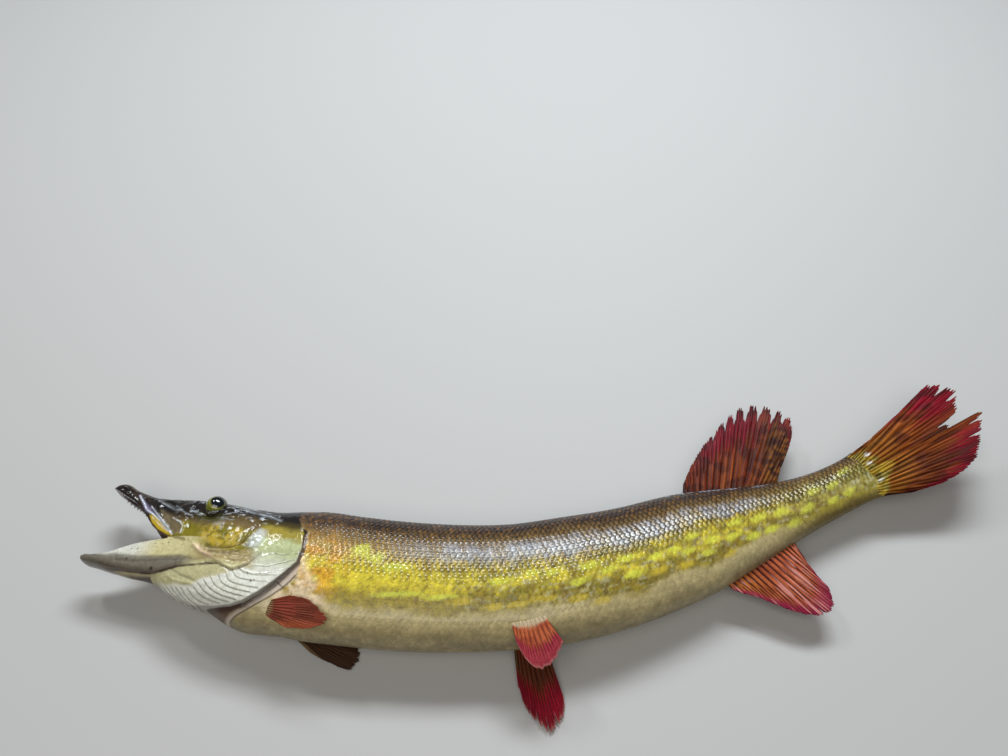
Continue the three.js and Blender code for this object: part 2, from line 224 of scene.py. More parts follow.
def tube(name, table, start, end, step, sides=40, roundness=2.2, level=0.5, grow=0.0):
    top, bottom, half = (smoothLine(table, column) for column in (1, 2, 3))
    bpy.ops.mesh.primitive_circle_add(vertices=sides, radius=1, fill_type='NGON')
    obj = bpy.context.object
    obj.name = name
    low = bottom(start) - grow
    height = top(start) + grow - low
    turn = np.arange(sides) * 2 * math.pi / sides
    power = 2 / roundness
    rise = np.sign(np.sin(turn)) * np.abs(np.sin(turn)) ** power
    side = np.sign(np.cos(turn)) * np.abs(np.cos(turn)) ** power
    reach = np.where(rise > 0, 1 - level, level) * height
    setPoints(obj, np.column_stack([np.full(sides, float(start)),
                                    low + level * height + reach * rise,
                                    (half(start) + grow) * side]))
    bpy.ops.object.mode_set(mode='EDIT')
    bpy.ops.mesh.select_all(action='SELECT')
    count = max(1, round(abs(end - start) / step))
    here = start
    for k in range(count):
        there = start + (end - start) * (k + 1) / count
        lowThere = bottom(there) - grow
        heightThere = top(there) + grow - lowThere
        wide = (half(there) + grow) / (half(here) + grow)
        bpy.ops.mesh.extrude_region_move(
            TRANSFORM_OT_translate={'value': (there - here, float(lowThere - low), 0)})
        bpy.ops.transform.resize(value=(1, float(heightThere / height), float(wide)),
                                 center_override=(there, float(lowThere), 0))
        here, low, height = there, lowThere, heightThere
    bpy.ops.object.mode_set(mode='OBJECT')
    outwards(obj)
    return obj


def prism(name, outline, low=-60, high=60):
    bpy.ops.mesh.primitive_circle_add(vertices=len(outline), radius=1, fill_type='NGON')
    obj = bpy.context.object
    obj.name = name
    setPoints(obj, [(x, y, low) for x, y in outline])
    bpy.ops.object.mode_set(mode='EDIT')
    bpy.ops.mesh.select_all(action='SELECT')
    bpy.ops.mesh.extrude_region_move(TRANSFORM_OT_translate={'value': (0, 0, high - low)})
    bpy.ops.object.mode_set(mode='OBJECT')
    outwards(obj)
    return obj


def ball(name, place, radii, segments=32):
    bpy.ops.mesh.primitive_uv_sphere_add(segments=segments, ring_count=segments // 2, radius=1)
    obj = bpy.context.object
    obj.name = name
    setPoints(obj, pointsOf(obj) * np.array(radii) + np.array(place))
    return obj


view = {
    'fromEye': (0.169125, -0.226965, 0.4137),     # where the camera stands, from the left eye
    'lookDown': 52,               # degrees below the horizon
    'lens': 28.25,                # millimetres, on a 36 mm wide sensor
}
cameraData = bpy.data.cameras.new('Camera')
cameraData.lens = view['lens']
cameraData.sensor_width = 36
cameraData.clip_start = 0.01
camera = bpy.data.objects.new('Camera', cameraData)
camera.location = eyeMiddle + np.array(view['fromEye'])
camera.rotation_euler = (math.radians(90 - view['lookDown']), 0, 0)
bpy.context.collection.objects.link(camera)
bpy.context.scene.camera = camera

studio = {
    'window': {'place': (0.17, 0.95, 1.15), 'aim': (0.0, 0.0, 0.0), 'size': (0.85, 0.30),
               'power': 21, 'colour': (0.88, 0.94, 1.0)},
    'sideWindow': {'place': (-0.70, 0.85, 1.10), 'aim': (-0.1, 0.0, 0.0), 'size': (0.18, 0.26),
                   'power': 4.5, 'colour': (0.92, 0.96, 1.0)},
    'ceiling': {'place': (-0.2, -0.75, 1.5), 'aim': (0, 0, 0), 'size': (1.6, 1.0),
                'power': 13, 'colour': (1.0, 0.97, 0.92)},
    'sky': ((0.92, 0.94, 1.0), 0.09),
}


def areaLight(name, look):
    data = bpy.data.lights.new(name, 'AREA')
    data.shape = 'RECTANGLE'
    data.size, data.size_y = look['size']
    data.energy = look['power']
    data.color = look['colour']
    lamp = bpy.data.objects.new(name, data)
    lamp.location = look['place']
    toward = Vector(look['aim']) - lamp.location
    lamp.rotation_euler = toward.to_track_quat('-Z', 'Y').to_euler()
    bpy.context.collection.objects.link(lamp)


bpy.context.scene.view_settings.view_transform = 'Standard'
for lampName in ('window', 'sideWindow', 'ceiling'):
    areaLight(lampName, studio[lampName])
world = bpy.data.worlds.new('World')
bpy.context.scene.world = world
world.use_nodes = True
skyColour, skyPower = studio['sky']
world.node_tree.nodes['Background'].inputs['Color'].default_value = (*skyColour, 1)
world.node_tree.nodes['Background'].inputs['Strength'].default_value = skyPower
print('camera and lights')


def tone(text):  # a colour written as the paint is seen, made linear
    parts = np.array([int(text[i:i + 2], 16) for i in (1, 3, 5)]) / 255
    return np.where(parts <= 0.04045, parts / 12.92, ((parts + 0.055) / 1.055) ** 2.4)


def newMaterial(name, roughness=0.4, coat=0.0, coatRoughness=0.2, specular=0.5):
    material = bpy.data.materials.new(name)
    material.use_nodes = True
    shader = material.node_tree.nodes['Principled BSDF']
    shader.inputs['Roughness'].default_value = roughness
    shader.inputs['Coat Weight'].default_value = coat
    shader.inputs['Coat Roughness'].default_value = coatRoughness
    shader.inputs['Specular IOR Level'].default_value = specular
    return material


def addNoise(material, scale, detail=3, coordinates='Object'):
    nodes, links = material.node_tree.nodes, material.node_tree.links
    where = nodes.new('ShaderNodeTexCoord')
    texture = nodes.new('ShaderNodeTexNoise')
    texture.inputs['Scale'].default_value = scale
    texture.inputs['Detail'].default_value = detail
    links.new(where.outputs[coordinates], texture.inputs['Vector'])
    return texture


def addRange(material, source, low, high):
    nodes, links = material.node_tree.nodes, material.node_tree.links
    spread = nodes.new('ShaderNodeMapRange')
    spread.inputs['From Min'].default_value = 0.3
    spread.inputs['From Max'].default_value = 0.7
    spread.inputs['To Min'].default_value = low
    spread.inputs['To Max'].default_value = high
    links.new(source, spread.inputs['Value'])
    return spread.outputs['Result']


def paintedMaterial(name, look):
    material = newMaterial(name, coat=look['coat'], coatRoughness=look['coatRoughness'],
                           specular=look['specular'])
    nodes, links = material.node_tree.nodes, material.node_tree.links
    shader = nodes['Principled BSDF']
    paint = nodes.new('ShaderNodeAttribute')
    paint.attribute_name = 'paint'
    speckle = addNoise(material, look['speckle'])
    shade = nodes.new('ShaderNodeVectorMath')
    shade.operation = 'SCALE'
    links.new(paint.outputs['Color'], shade.inputs[0])
    links.new(addRange(material, speckle.outputs['Fac'], *look['shade']), shade.inputs['Scale'])
    links.new(shade.outputs['Vector'], shader.inputs['Base Color'])
    patches = addNoise(material, look['patches'])
    links.new(addRange(material, patches.outputs['Fac'], *look['roughness']),
              shader.inputs['Roughness'])
    ripple = addNoise(material, look['ripple'], detail=4)
    bump = nodes.new('ShaderNodeBump')
    bump.inputs['Strength'].default_value = look['bump']
    bump.inputs['Distance'].default_value = 0.0003
    links.new(ripple.outputs['Fac'], bump.inputs['Height'])
    links.new(bump.outputs['Normal'], shader.inputs['Normal'])
    links.new(bump.outputs['Normal'], shader.inputs['Coat Normal'])
    return material


skinLook = {'coat': 0.75, 'coatRoughness': 0.08, 'specular': 0.04, 'speckle': 1500,
            'shade': (0.85, 1.15), 'patches': 140, 'roughness': (0.45, 0.65),
            'ripple': 420, 'bump': 0.5}
scaleLook = dict(skinLook, coat=0.55, coatRoughness=0.11, roughness=(0.5, 0.7), bump=0.3)
finLook = dict(skinLook, coat=0.07, coatRoughness=0.3, speckle=900, roughness=(0.5, 0.7),
               ripple=700, bump=0.4)
mouthLook = dict(skinLook, coat=0.35, speckle=900, roughness=(0.35, 0.6))
skinPaint = paintedMaterial('fishSkinPaint', skinLook)
scalePaint = paintedMaterial('fishScalePaint', scaleLook)
finPaint = paintedMaterial('fishFinPaint', finLook)
mouthPaint = paintedMaterial('fishMouthPaint', mouthLook)


def setPaint(obj, colours):
    layer = obj.data.color_attributes.new(name='paint', type='FLOAT_COLOR', domain='POINT')
    rgba = np.ones((len(obj.data.vertices), 4), np.float32)
    rgba[:, :3] = np.clip(colours, 0, 1)
    layer.data.foreach_set('color', rgba.ravel())


def dress(obj, material, slot, *nodes, angle=None):
    pickOnly(obj)
    obj.data.materials.clear()
    obj.data.materials.append(material)
    if angle is None:
        bpy.ops.object.shade_smooth()
    else:
        bpy.ops.object.shade_smooth_by_angle(angle=math.radians(angle))
    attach(obj, 'root')
    if nodes:
        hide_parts(*nodes)


fish = {
    'body': [(-82, 28, -13.5, 8), (-66, 31, -20, 12), (-54, 32, -24.5, 14.8),
             (-42, 32.3, -29.5, 16.4), (-32, 32.5, -33.8, 17.2), (-20, 33, -36.8, 18.4),
             (0, 38.9, -35.6, 20.4), (12, 39.8, -36.2, 21.2), (30, 39.2, -36.2, 22),
             (70, 38.4, -35.8, 22.6), (120, 37.4, -35.2, 22.5), (160, 38.2, -34.4, 21.8),
             (200, 36.8, -31.8, 20), (235, 35.4, -28.6, 17.8), (255, 31.8, -25, 15.4),
             (280, 25.6, -20.3, 12.8), (303, 20, -17.2, 10.6), (325, 16.4, -16, 8.4),
             (345, 15.6, -16.2, 6.2), (358, 16.6, -17.6, 2.8)],
    'bodyRound': 2.15,
    'head': [(-84, 33.8, -15.2, 10), (-78, 34.6, -18.5, 11.4), (-72, 35.2, -22, 13),
             (-64, 35.6, -25.3, 15.4), (-54, 35.2, -27.8, 18), (-44, 34.4, -29.6, 20),
             (-32, 33.4, -31.4, 21.6), (-18, 34, -33, 22.5), (-6, 36.4, -32, 22.6),
             (8, 38.8, -30, 22)],
    'upperJaw': [(-127, 35.8, 33, 4), (-124.5, 37.8, 29, 6.2), (-119, 38.9, 26, 7.7),
                 (-112, 36, 22, 8), (-104, 33.9, 16, 8.1), (-96, 33.1, 10, 8.8),
                 (-88, 33.4, 4, 9.9), (-80, 34.3, 0, 11.2), (-72, 35.2, -2, 13)],
    'lowerJaw': [(-126.5, -7.5, -12.2, 4), (-123.5, -5.5, -13.5, 6.2),
                 (-116, -3.5, -14.4, 7.6), (-106, -1, -15.9, 8.5), (-96, 4, -17.2, 9.4),
                 (-86, 8, -17.6, 10.6), (-76, 11, -19, 12.2), (-64, 12, -22, 14.8)],
    'upperLip': [(-128, 34.6), (-121.5, 32), (-116.5, 29.6), (-109, 26.6), (-103, 22.6),
                 (-97.5, 18), (-91.5, 12.6), (-85, 8.6), (-79, 6.8), (-75, 6.5)],
    'lowerLip': [(-127.5, -9.8), (-118, -9), (-111, -7.6), (-106.5, -5.4), (-102.5, -2.6),
                 (-98, 0.2), (-90.7, 2.8), (-83.5, 5), (-75, 6.2)],
    'coverEdge': [(2, 16.5), (3.9, 7), (3.4, -1.5), (-1.2, -8.2), (-5.6, -13.7), (-12.4, -20.3),
                  (-19.5, -25.2), (-27, -27.6), (-37, -28.6), (-48.7, -28.3), (-60.6, -26.6),
                  (-72.2, -23.6), (-80.7, -18)],
    'gape': [(-74, 6.5), (-66, 5.4), (-66, -12), (-79, -15.3)],
    'throat': ((-70, 0.5, 0), (26, 6.2, 8)),     # a hollow ball: its middle and reach
    'lining': ((-70, 0, 0), (27, 7.2, 9)),       # where the throat's paint ends
    'inset': 0.35,          # how far the skin lies inside the solids
    'lipWall': 2.4,
    'voxel': 0.5,
    'smoothing': (0.5, 3),  # how far and how often the fresh skin is smoothed
    'nape': ((-14, 10), 15, 30),    # smoothed between these, above this height, so often
    'detailFrom': 14,       # behind this the scales cover the skin
    'bodyDetail': 0.05,     # the share of faces kept there
    'rightDetail': 0.25,    # and on the side of the head that the fish lies on
}
bodyTop, bodyLow, bodyHalf = (smoothLine(fish['body'], column) for column in (1, 2, 3))
jawHalf = {'up': smoothLine(fish['upperJaw'], 3), 'low': smoothLine(fish['lowerJaw'], 3)}


def eyelid(side):  # a soft ring round the eye, facing the way the head's skin does there
    bpy.ops.mesh.primitive_torus_add(major_radius=eye['lidRadius'], minor_radius=eye['lidThick'],
                                     major_segments=48, minor_segments=16)
    obj = bpy.context.object
    out = Vector(np.array(eye['lidFacing']) * (1, 1, side))
    turn = np.array(Vector((0, 0, 1)).rotation_difference(out).to_matrix())
    x, y, z = eye['place']
    middle = np.array((x, y, z * side)) + np.array(out.normalized()) * eye['lidProud']
    setPoints(obj, pointsOf(obj) @ turn.T + middle)
    return obj


def makeSkinShape():
    inset = fish['inset']
    body = tube('skin', fish['body'], -82, 357.5, 4, sides=48, roundness=fish['bodyRound'],
                grow=-inset)
    head = tube('headShell', fish['head'], -84, 8, 2.3, sides=56, roundness=2.6, level=0.46,
                grow=-inset)
    edge = fish['coverEdge']
    cut(head, prism('coverKeep', [(-90, 50), (-1, 50)] + edge + [(-90, -17)]), 'INTERSECT')
    cut(body, head, 'UNION')
    (cornerX, _), _, _, (gularX, _) = fish['gape']
    cut(body, prism('gapeRoom', [(-140, 50), (cornerX, 50)] + fish['gape']
                    + [(gularX, -50), (-140, -50)]))
    upper = tube('upperJaw', fish['upperJaw'], -126.6, -71, 2.3, roundness=2.5, grow=-inset)
    cut(upper, prism('aboveLip', fish['upperLip'] + [(-60, 6.5), (-60, 60), (-140, 60)]),
        'INTERSECT')
    wall = fish['lipWall'] - inset
    palate = [(x + 4, top - min(8, 0.6 * (top - low)), low - 30, max(half - wall, 1))
              for x, top, low, half in fish['upperJaw'][:-2]]
    palate += [(-76, 19, -20, 9.4), (-69, 9, -9, 8)]
    cut(upper, tube('palate', palate, -121, -69, 3, sides=32, roundness=2.4))
    lower = tube('lowerJaw', fish['lowerJaw'], -126.1, -63, 2.3, roundness=2.5, level=0.55,
                 grow=-inset)
    cut(lower, prism('belowLip', fish['lowerLip'] + [(-60, 5.4), (-60, -60), (-140, -60)]),
        'INTERSECT')
    trough = [(x + 4, top + 30, low + 4.5, max(half - wall, 1))
              for x, top, low, half in fish['lowerJaw'][:-1]]
    trough += [(-66, 18, -9, 11)]
    cut(lower, tube('trough', trough, -120.5, -67, 3, sides=32, roundness=3.2))
    cut(body, upper, 'UNION')
    cut(body, lower, 'UNION')
    cut(body, ball('throat', *fish['throat']))
    x, y, z = eye['place']
    for side in (1, -1):
        cut(body, eyelid(side), 'UNION')
        cut(body, ball('socket', (x, y, z * side), (eye['radius'] + eye['socketGap'],) * 3))
    return body


skin = makeSkinShape()
applyModifier(skin, 'REMESH', mode='VOXEL', voxel_size=fish['voxel'])
print('skin remeshed:', len(skin.data.vertices))
applyModifier(skin, 'SMOOTH', factor=fish['smoothing'][0], iterations=fish['smoothing'][1])


def softenNape():
    x, y, _ = pointsOf(skin).T
    (front, rear), above, rounds = fish['nape']
    selectPoints(skin, (x > front) & (x < rear) & (y > above))
    bpy.ops.mesh.vertices_smooth(factor=0.5, repeat=rounds)
    bpy.ops.object.mode_set(mode='OBJECT')


softenNape()


def thinBody():
    x, _, _ = pointsOf(skin).T
    selectPoints(skin, x > fish['detailFrom'])
    bpy.ops.mesh.decimate(ratio=fish['bodyDetail'])
    bpy.ops.object.mode_set(mode='OBJECT')
    x, _, z = pointsOf(skin).T
    selectPoints(skin, (z < -1) & (x <= fish['detailFrom']))
    bpy.ops.mesh.decimate(ratio=fish['rightDetail'])
    bpy.ops.object.mode_set(mode='OBJECT')


thinBody()
print('skin thinned:', len(skin.data.vertices), len(skin.data.polygons))


def outlineDistance(x, y, line, closed=False):
    pairs = list(zip(line, line[1:] + line[:1])) if closed else list(zip(line, line[1:]))
    nearest = np.full(len(x), 1e9)
    for (ax, ay), (bx, by) in pairs:
        dx, dy = bx - ax, by - ay
        t = np.clip(((x - ax) * dx + (y - ay) * dy) / (dx * dx + dy * dy), 0, 1)
        nearest = np.minimum(nearest, np.hypot(x - ax - t * dx, y - ay - t * dy))
    return nearest


def inside(x, y, outline):
    within = np.zeros(len(x), bool)
    for (ax, ay), (bx, by) in zip(outline, outline[1:] + outline[:1]):
        if ay == by:
            continue
        crosses = (ay > y) != (by > y)
        within ^= crosses & (x < (bx - ax) * (y - ay) / (by - ay) + ax)
    return within


def zone(x, y, outline, soft):  # 1 inside the outline, fading to 0 over its edge
    away = outlineDistance(x, y, outline, closed=True)
    return smooth(np.where(inside(x, y, outline), away, -away), -soft, soft)


def mix(under, over, share):  # one tone or a tone for each point, and a share for each point
    return under + (over - under) * np.asarray(share)[:, None]


def lineSide(x, y, line):  # distance to a line, and 1 on its left or -1 on its right
    nearest = np.full(len(x), 1e9)
    side = np.ones(len(x))
    for (ax, ay), (bx, by) in zip(line, line[1:]):
        dx, dy = bx - ax, by - ay
        t = np.clip(((x - ax) * dx + (y - ay) * dy) / (dx * dx + dy * dy), 0, 1)
        away = np.hypot(x - ax - t * dx, y - ay - t * dy)
        closer = away < nearest
        nearest = np.where(closer, away, nearest)
        side = np.where(closer, np.sign(dx * (y - ay) - dy * (x - ax) + 1e-9), side)
    return nearest, side


gillRays = {  # where the rays of the gill membrane start, bend, sweep and end, by ray number
    'count': 14,
    'root': [(0, -71.2, -21), (4, -57.5, -22), (6, -49.5, -21.6), (8, -44.4, -17.8),
             (11, -32.3, -13.5), (13, -26.5, -9.4)],
    'bend': [(0, -67.2, -23.5), (4, -53.1, -25.8), (6, -45, -24.7), (8, -40.4, -21.1),
             (11, -29.9, -16.6), (13, -22.8, -11.8)],
    'sweep': [(0, -63.5, -25.2), (4, -49.5, -27.5), (6, -37.1, -26.9), (8, -33, -24),
              (11, -22.8, -18.3), (13, -14.9, -12.1)],
    'tip': [(0, -60.5, -26.4), (4, -46.5, -28.4), (6, -32.5, -27.4), (8, -23.9, -25.3),
            (11, -12.9, -18.6), (13, -4.9, -10.5)],
}


def makeGillRays():
    lines = []
    for number in range(gillRays['count']):
        stops = []
        for part in ('root', 'bend', 'sweep', 'tip'):
            table = gillRays[part]
            stops.append((smoothLine(table, 1)(number), smoothLine(table, 2)(number)))
        lines.append([tuple(point) for point in fairCurve(stops, np.linspace(0, 1, 12))])
    return lines


gillRayLines = makeGillRays()

# the lines painted along these folds are painted shade, and on the brow a painted highlight
creases = {  # lines that are folded and painted
    'jaw': [(-119.2, -9.8), (-111.3, -9.7), (-104.2, -8.3), (-95.9, -8.2), (-85.7, -7.6),
            (-76.5, -6.6), (-66.3, -5.7), (-57.3, -6.5)],
    'underJaw': [(-102.9, -10.9), (-92.7, -10.7), (-82.9, -9.3), (-73, -7.9), (-61.6, -7.4)],
    'chin': [(-66.5, -13.2), (-61.2, -15.7), (-55.3, -17.2), (-50.6, -18.7)],
    'brow': [(-38.6, 27.4), (-32.8, 26.1), (-26.1, 25), (-20.7, 24.4), (-13.4, 22)],
    'shoulder': [(5.2, -7.5), (2.7, -11.9), (-0.5, -15.7), (-6.1, -20.6), (-12.5, -25),
                 (-18.1, -28.8), (-23.4, -31.8), (-26.4, -34.1)],
}
headFolds = [  # (kind, height, width, line); a step falls from the line's left to its right
    ('step', 0.4, 3.0, [(-76, 5), (-63.1, 4.4), (-58.7, 1.4), (-52.5, -2.8), (-47.8, -4.1),
                        (-41.9, -6)]),
    ('groove', 0.6, 0.8, [(-51.2, 1.3), (-45.6, 0.4), (-39.7, 0.8), (-35.1, 1.9), (-30.9, 4.1),
                          (-29.1, 6.9), (-28.4, 10.2), (-26.5, 17)]),
    ('ridge', 0.5, 0.8, [(-49.1, -1.1), (-43, -0.9), (-36.3, -0.1), (-31.1, 2), (-28.3, 4.9)]),
    ('groove', 0.4, 0.6, [(-48, -2.2), (-42, -2.2), (-35, -1.8), (-29.5, 0.2), (-26, 4)]),
    ('ridge', 0.6, 0.8, [(-49.3, -3.1), (-43.9, -3.7), (-37.4, -4.7), (-32.1, -5.6),
                         (-27.6, -4.5), (-23.8, -1.6), (-21.3, 0.8)]),
    ('ridge', 0.4, 0.7, [(-41.5, -4.5), (-36.6, -6.8), (-31.3, -7.6), (-26.7, -6.9),
                         (-23.9, -4.1)]),
    ('ridge', 0.7, 0.9, [(-58.7, 1.4), (-52.5, -2.8), (-47.8, -4.1), (-41.9, -6), (-35.8, -8.6),
                         (-30.6, -10.2), (-27.2, -8.6), (-22.4, -6)]),
    ('groove', 0.6, 0.7, [(-47, -8), (-40.1, -8.1), (-35.8, -9.4), (-30.6, -11.3),
                          (-27.2, -9.9), (-22.4, -7.2), (-17.6, -0.2)]),
    ('step', 0.8, 1.6, [(-126, -12.2), (-118.9, -14), (-107.5, -14.7), (-96.7, -15.1),
                        (-86.4, -15), (-77.9, -14.8), (-71.7, -13.4), (-63.9, -11.3),
                        (-57.8, -10.5), (-51.7, -9.7), (-45.9, -8.7), (-40.1, -8.3)]),
    ('groove', 0.4, 0.9, creases['jaw']),
    ('groove', 0.3, 0.8, creases['underJaw']),
    ('step', 0.4, 1.2, [(3.9, 3.8), (-0.1, 2.9), (-5.6, 1.1), (-9.5, 1.5), (-12.5, 0.5)]),
    ('step', 0.4, 1.2, [(2, -0.5), (-1.7, -2.2), (-6.6, -4.4), (-11.5, -6.5), (-18.1, -6.7)]),
    ('step', 0.35, 1.2, [(1, -5), (-5.4, -8), (-10.4, -10), (-16.5, -11.3), (-27.6, -9.8)]),
    ('ridge', 0.8, 0.8, [(-107.2, 30.5), (-101.7, 25.2), (-98.3, 21.4), (-92, 18.6),
                         (-86.6, 15.3), (-77, 8.6)]),
    ('ridge', 0.6, 0.7, [(-100, 27.4), (-96.5, 23.7), (-88.4, 17.7), (-80.5, 11.9)]),
    ('groove', 0.6, 0.8, [(-104, 29.5), (-98, 24), (-90, 18.2), (-79, 10.4)]),
    ('ridge', 0.7, 0.9, [(-79.4, 17.5), (-73.6, 15.3), (-71.1, 12.9), (-70.2, 8.4),
                         (-73.2, 7.7)]),
    ('groove', 0.5, 1.0, [(-88, 29), (-80, 24.8), (-73, 21.5), (-69, 17), (-66.5, 12)]),
    ('ridge', 0.6, 1.1, [(-96, 29), (-86, 25.6), (-80.9, 23.4), (-76, 21.6), (-68.7, 20)]),
    ('ridge', 0.6, 1.1, [(-46, 28)] + creases['brow']),
    ('groove', 0.6, 1.0, [(-44, 25.6), (-36, 25.6), (-28.5, 24.1), (-22, 23.6), (-14, 21.6)]),
    ('ridge', 0.4, 0.9, [(-40, 23.8), (-33.8, 24), (-28.1, 22.8), (-21.9, 22.4), (-15, 20.6)]),
    ('groove', 0.4, 1.2, [(-49, 20.4), (-40, 20.6), (-30, 19), (-24, 16)]),
    ('groove', 0.35, 0.7, creases['chin']),
    ('ridge', 0.3, 0.8, [(-68, -16.4), (-63.6, -18.2), (-56.7, -19.3), (-50, -20)]),
    ('step', 0.6, 1.4, creases['shoulder']),
]
wrinkleOutline = [(-56, 0), (-48, -0.5), (-36, 0.5), (-29, 6), (-25, 12), (-21, 8), (-22, -1),
                  (-30, -9), (-42, -6)]
dents = [  # soft hollows and swellings: place, reach and height
    ((-57.5, 22.3), (7.5, 3.4), -2.8),
    ((-118.5, 33.2), (3.2, 1.6), -0.9),
    ((-23, 8.5), (3.5, 5.0), 0.3),
    ((-57, 1.2), (4.5, 2.0), 0.5),
    ((-50, 17.5), (5.0, 2.2), 0.4),
]
nostrils = [(-77.2, 29.0, 0.8), (-80.6, 30.4, 0.6)]


def headRelief(points, normals):
    x, y, _ = points.T
    sideways = smooth(np.abs(normals[:, 2]), 0.15, 0.5)
    rise = np.zeros(len(x))
    for kind, height, width, line in headFolds:
        away, side = lineSide(x, y, line)
        fade = np.exp(-(away / width) ** 2)
        if kind == 'groove':
            rise -= height * fade
        elif kind == 'ridge':
            rise += height * fade
        else:
            rise += 0.5 * height * side * np.exp(-(away / width)) * smooth(away, 0, 0.35)
    for line in gillRayLines:
        away, side = lineSide(x, y, line)
        rise += 0.14 * side * np.exp(-(away / 1.1) ** 2) - 0.15 * np.exp(-(away / 0.35) ** 2)
    wrinkled = zone(x, y, wrinkleOutline, 2.5)
    rise += wrinkled * (np.abs(noise(points * (0.55, 1, 1), 2.3, 43) - 0.5) - 0.18) * 1.7
    for (middleX, middleY), (reachX, reachY), height in dents:
        rise += height * np.exp(-((x - middleX) / reachX) ** 2 - ((y - middleY) / reachY) ** 2)
    for px, py, size in nostrils:
        rise -= 0.9 * np.exp(-(np.hypot(x - px, y - py) / size) ** 2)
    # dried skin puckers on the upper half of the head, and lies smoother below
    pucker = (noise(points, 2.6, 31) - 0.5) * 0.42 + (noise(points, 5.5, 32) - 0.5) * 0.5
    rise += pucker * smooth(y, 2, 12) * smooth(x, -122, -108) * (1 - 0.85 * smooth(x, -22, -16))
    rise += (noise(points, 2.2, 33) - 0.5) * 0.12
    inMouth = insideMouth(points, normals)
    return rise * sideways * (1 - smooth(x, 2, 8)) * (1 - inMouth)


def reliefOnSkin():
    points, normals = pointsOf(skin), normalsOf(skin)
    head = points[:, 0] < 8
    moved = points.copy()
    rise = np.zeros(len(points))
    rise[head] = headRelief(points[head], normals[head])
    moved += normals * rise[:, None]
    slow = (noise(points, 18, 34) - 0.5) * 0.3 * smooth(points[:, 0], 5, 20)
    moved += normals * (slow - 0.15 * smooth(points[:, 0], 5, 20))[:, None]
    setPoints(skin, moved)
    return rise


bodyTones = {
    'bellyShade': '#85795a', 'belly': '#b1a274', 'lower': '#978631', 'flank': '#d3c03c',
    'flankTop': '#c9ac45', 'upper': '#ab8a4a', 'brownish': '#6b563a', 'back': '#40322b',
    'ridge': '#3a2d26', 'lime': '#c4c748', 'gold': '#bda636', 'net': '#6d6433',
    'orange': '#d08f28', 'fleck': '#b5b08c', 'brown': '#6b4f24', 'dark': '#2a2117',
    'rearLow': '#6a5c31', 'rear': '#978a36', 'rearMid': '#9d9148', 'rearTop': '#8a7648',
    'pinkish': '#d9c3a0', 'silverAndSheen': '#bcc7da',
}
bodyTones = {name: tone(text) for name, text in bodyTones.items()}
bodyGrades = {  # tones by height: -1 at the belly's edge, 1 at the back's
    # painted shade: on the body the belly turns darker towards its lower edge
    'body': [(-1, 'bellyShade'), (-0.78, 'belly'), (-0.66, 'belly'), (-0.56, 'lower'),
             (-0.42, 'lower'), (-0.3, 'flank'), (-0.08, 'flank'), (0.12, 'flankTop'),
             (0.34, 'upper'), (0.55, 'brownish'), (0.7, 'back'), (1, 'ridge')],
    'stem': [(-1, 'rearLow'), (-0.8, 'rearLow'), (-0.6, 'rear'), (-0.3, 'rearMid'),
             (0.2, 'rearMid'), (0.5, 'rearTop'), (0.72, 'brownish'), (1, 'back')],
}
chain = [  # the pale blotches of the chain: x, y, length, height, and 1 for lime or 0 for gold
    (227, 0.2, 5, 2, 1), (257, 1.5, 6, 2, 1), (272, -0.6, 5, 2, 1), (288, -1.7, 6, 2.2, 1),
    (314, 2.8, 5, 2.2, 1), (328, 0.8, 5, 2.2, 1), (340, 6.2, 5, 2.2, 1),
    (132, -2.1, 4.5, 1.8, 1), (142, -3.2, 4, 1.5, 1), (164, -2.2, 6, 1.9, 1),
    (184, -2.4, 6.5, 1.8, 1), (201, -5.2, 5, 1.8, 1), (213, -4.7, 4.5, 1.8, 1),
    (238, -5, 5, 2, 1), (251, -6.4, 5, 2, 1), (305, -5.2, 6, 2.2, 1), (322, -7, 5, 2, 1),
    (335, -6.7, 5, 2, 1),
    (115, -5.9, 6, 1.6, 1), (156, -10, 5.5, 1.9, 1), (173, -6.5, 6, 1.6, 1),
    (187, -11.6, 6, 1.9, 1), (221, -7.4, 5, 1.7, 1), (263, -9.3, 5.5, 2, 1),
    (276, -9.1, 5, 2, 1), (292, -10.2, 5, 2, 1),
    (93, -16, 6, 1.9, 0), (111, -18.8, 5, 1.8, 0), (123, -18, 5, 1.7, 0),
    (133, -16.4, 4.5, 1.7, 0), (140, -16.6, 4, 1.6, 0), (154, -18.3, 6, 2, 0),
    (166, -21.4, 5, 1.8, 0), (201, -13.1, 6, 1.9, 0), (217, -14, 5, 1.8, 0),
    (245, -14.7, 5, 1.8, 0), (232, -11, 4.5, 1.7, 1), (63, -13, 14, 1.4, 1),
    (85, -13.6, 9, 1.3, 1), (37.5, 9.7, 6, 4.5, 1), (46, 5.5, 5, 3.5, 1), (58, 1.5, 8, 2.5, 1),
]


def graded(level, grades, tones):
    levels = [row[0] for row in grades]
    table = np.array([tones[row[1]] for row in grades])
    return np.column_stack([np.interp(level, levels, table[:, k]) for k in range(3)])


def blotches(points):
    x, y, _ = points.T
    wobble = (noise(points, 2.2, 18) - 0.5) * 0.9
    most, lime = np.zeros(len(x)), np.zeros(len(x))
    for middleX, middleY, long, high, isLime in chain:
        dx = (x - middleX) / long
        dy = (y - middleY - 0.10 * (x - middleX)) / high
        spot = 1 - smooth(np.hypot(dx, dy) + wobble, 0.5, 1.35)
        lime = np.where(spot > most, isLime, lime)
        most = np.maximum(most, spot)
    return most, lime


def flankLevel(x, y):  # -1 at the belly's edge, 1 at the back's
    top, low = bodyTop(x), bodyLow(x)
    return (y - (top + low) / 2) / ((top - low) / 2)


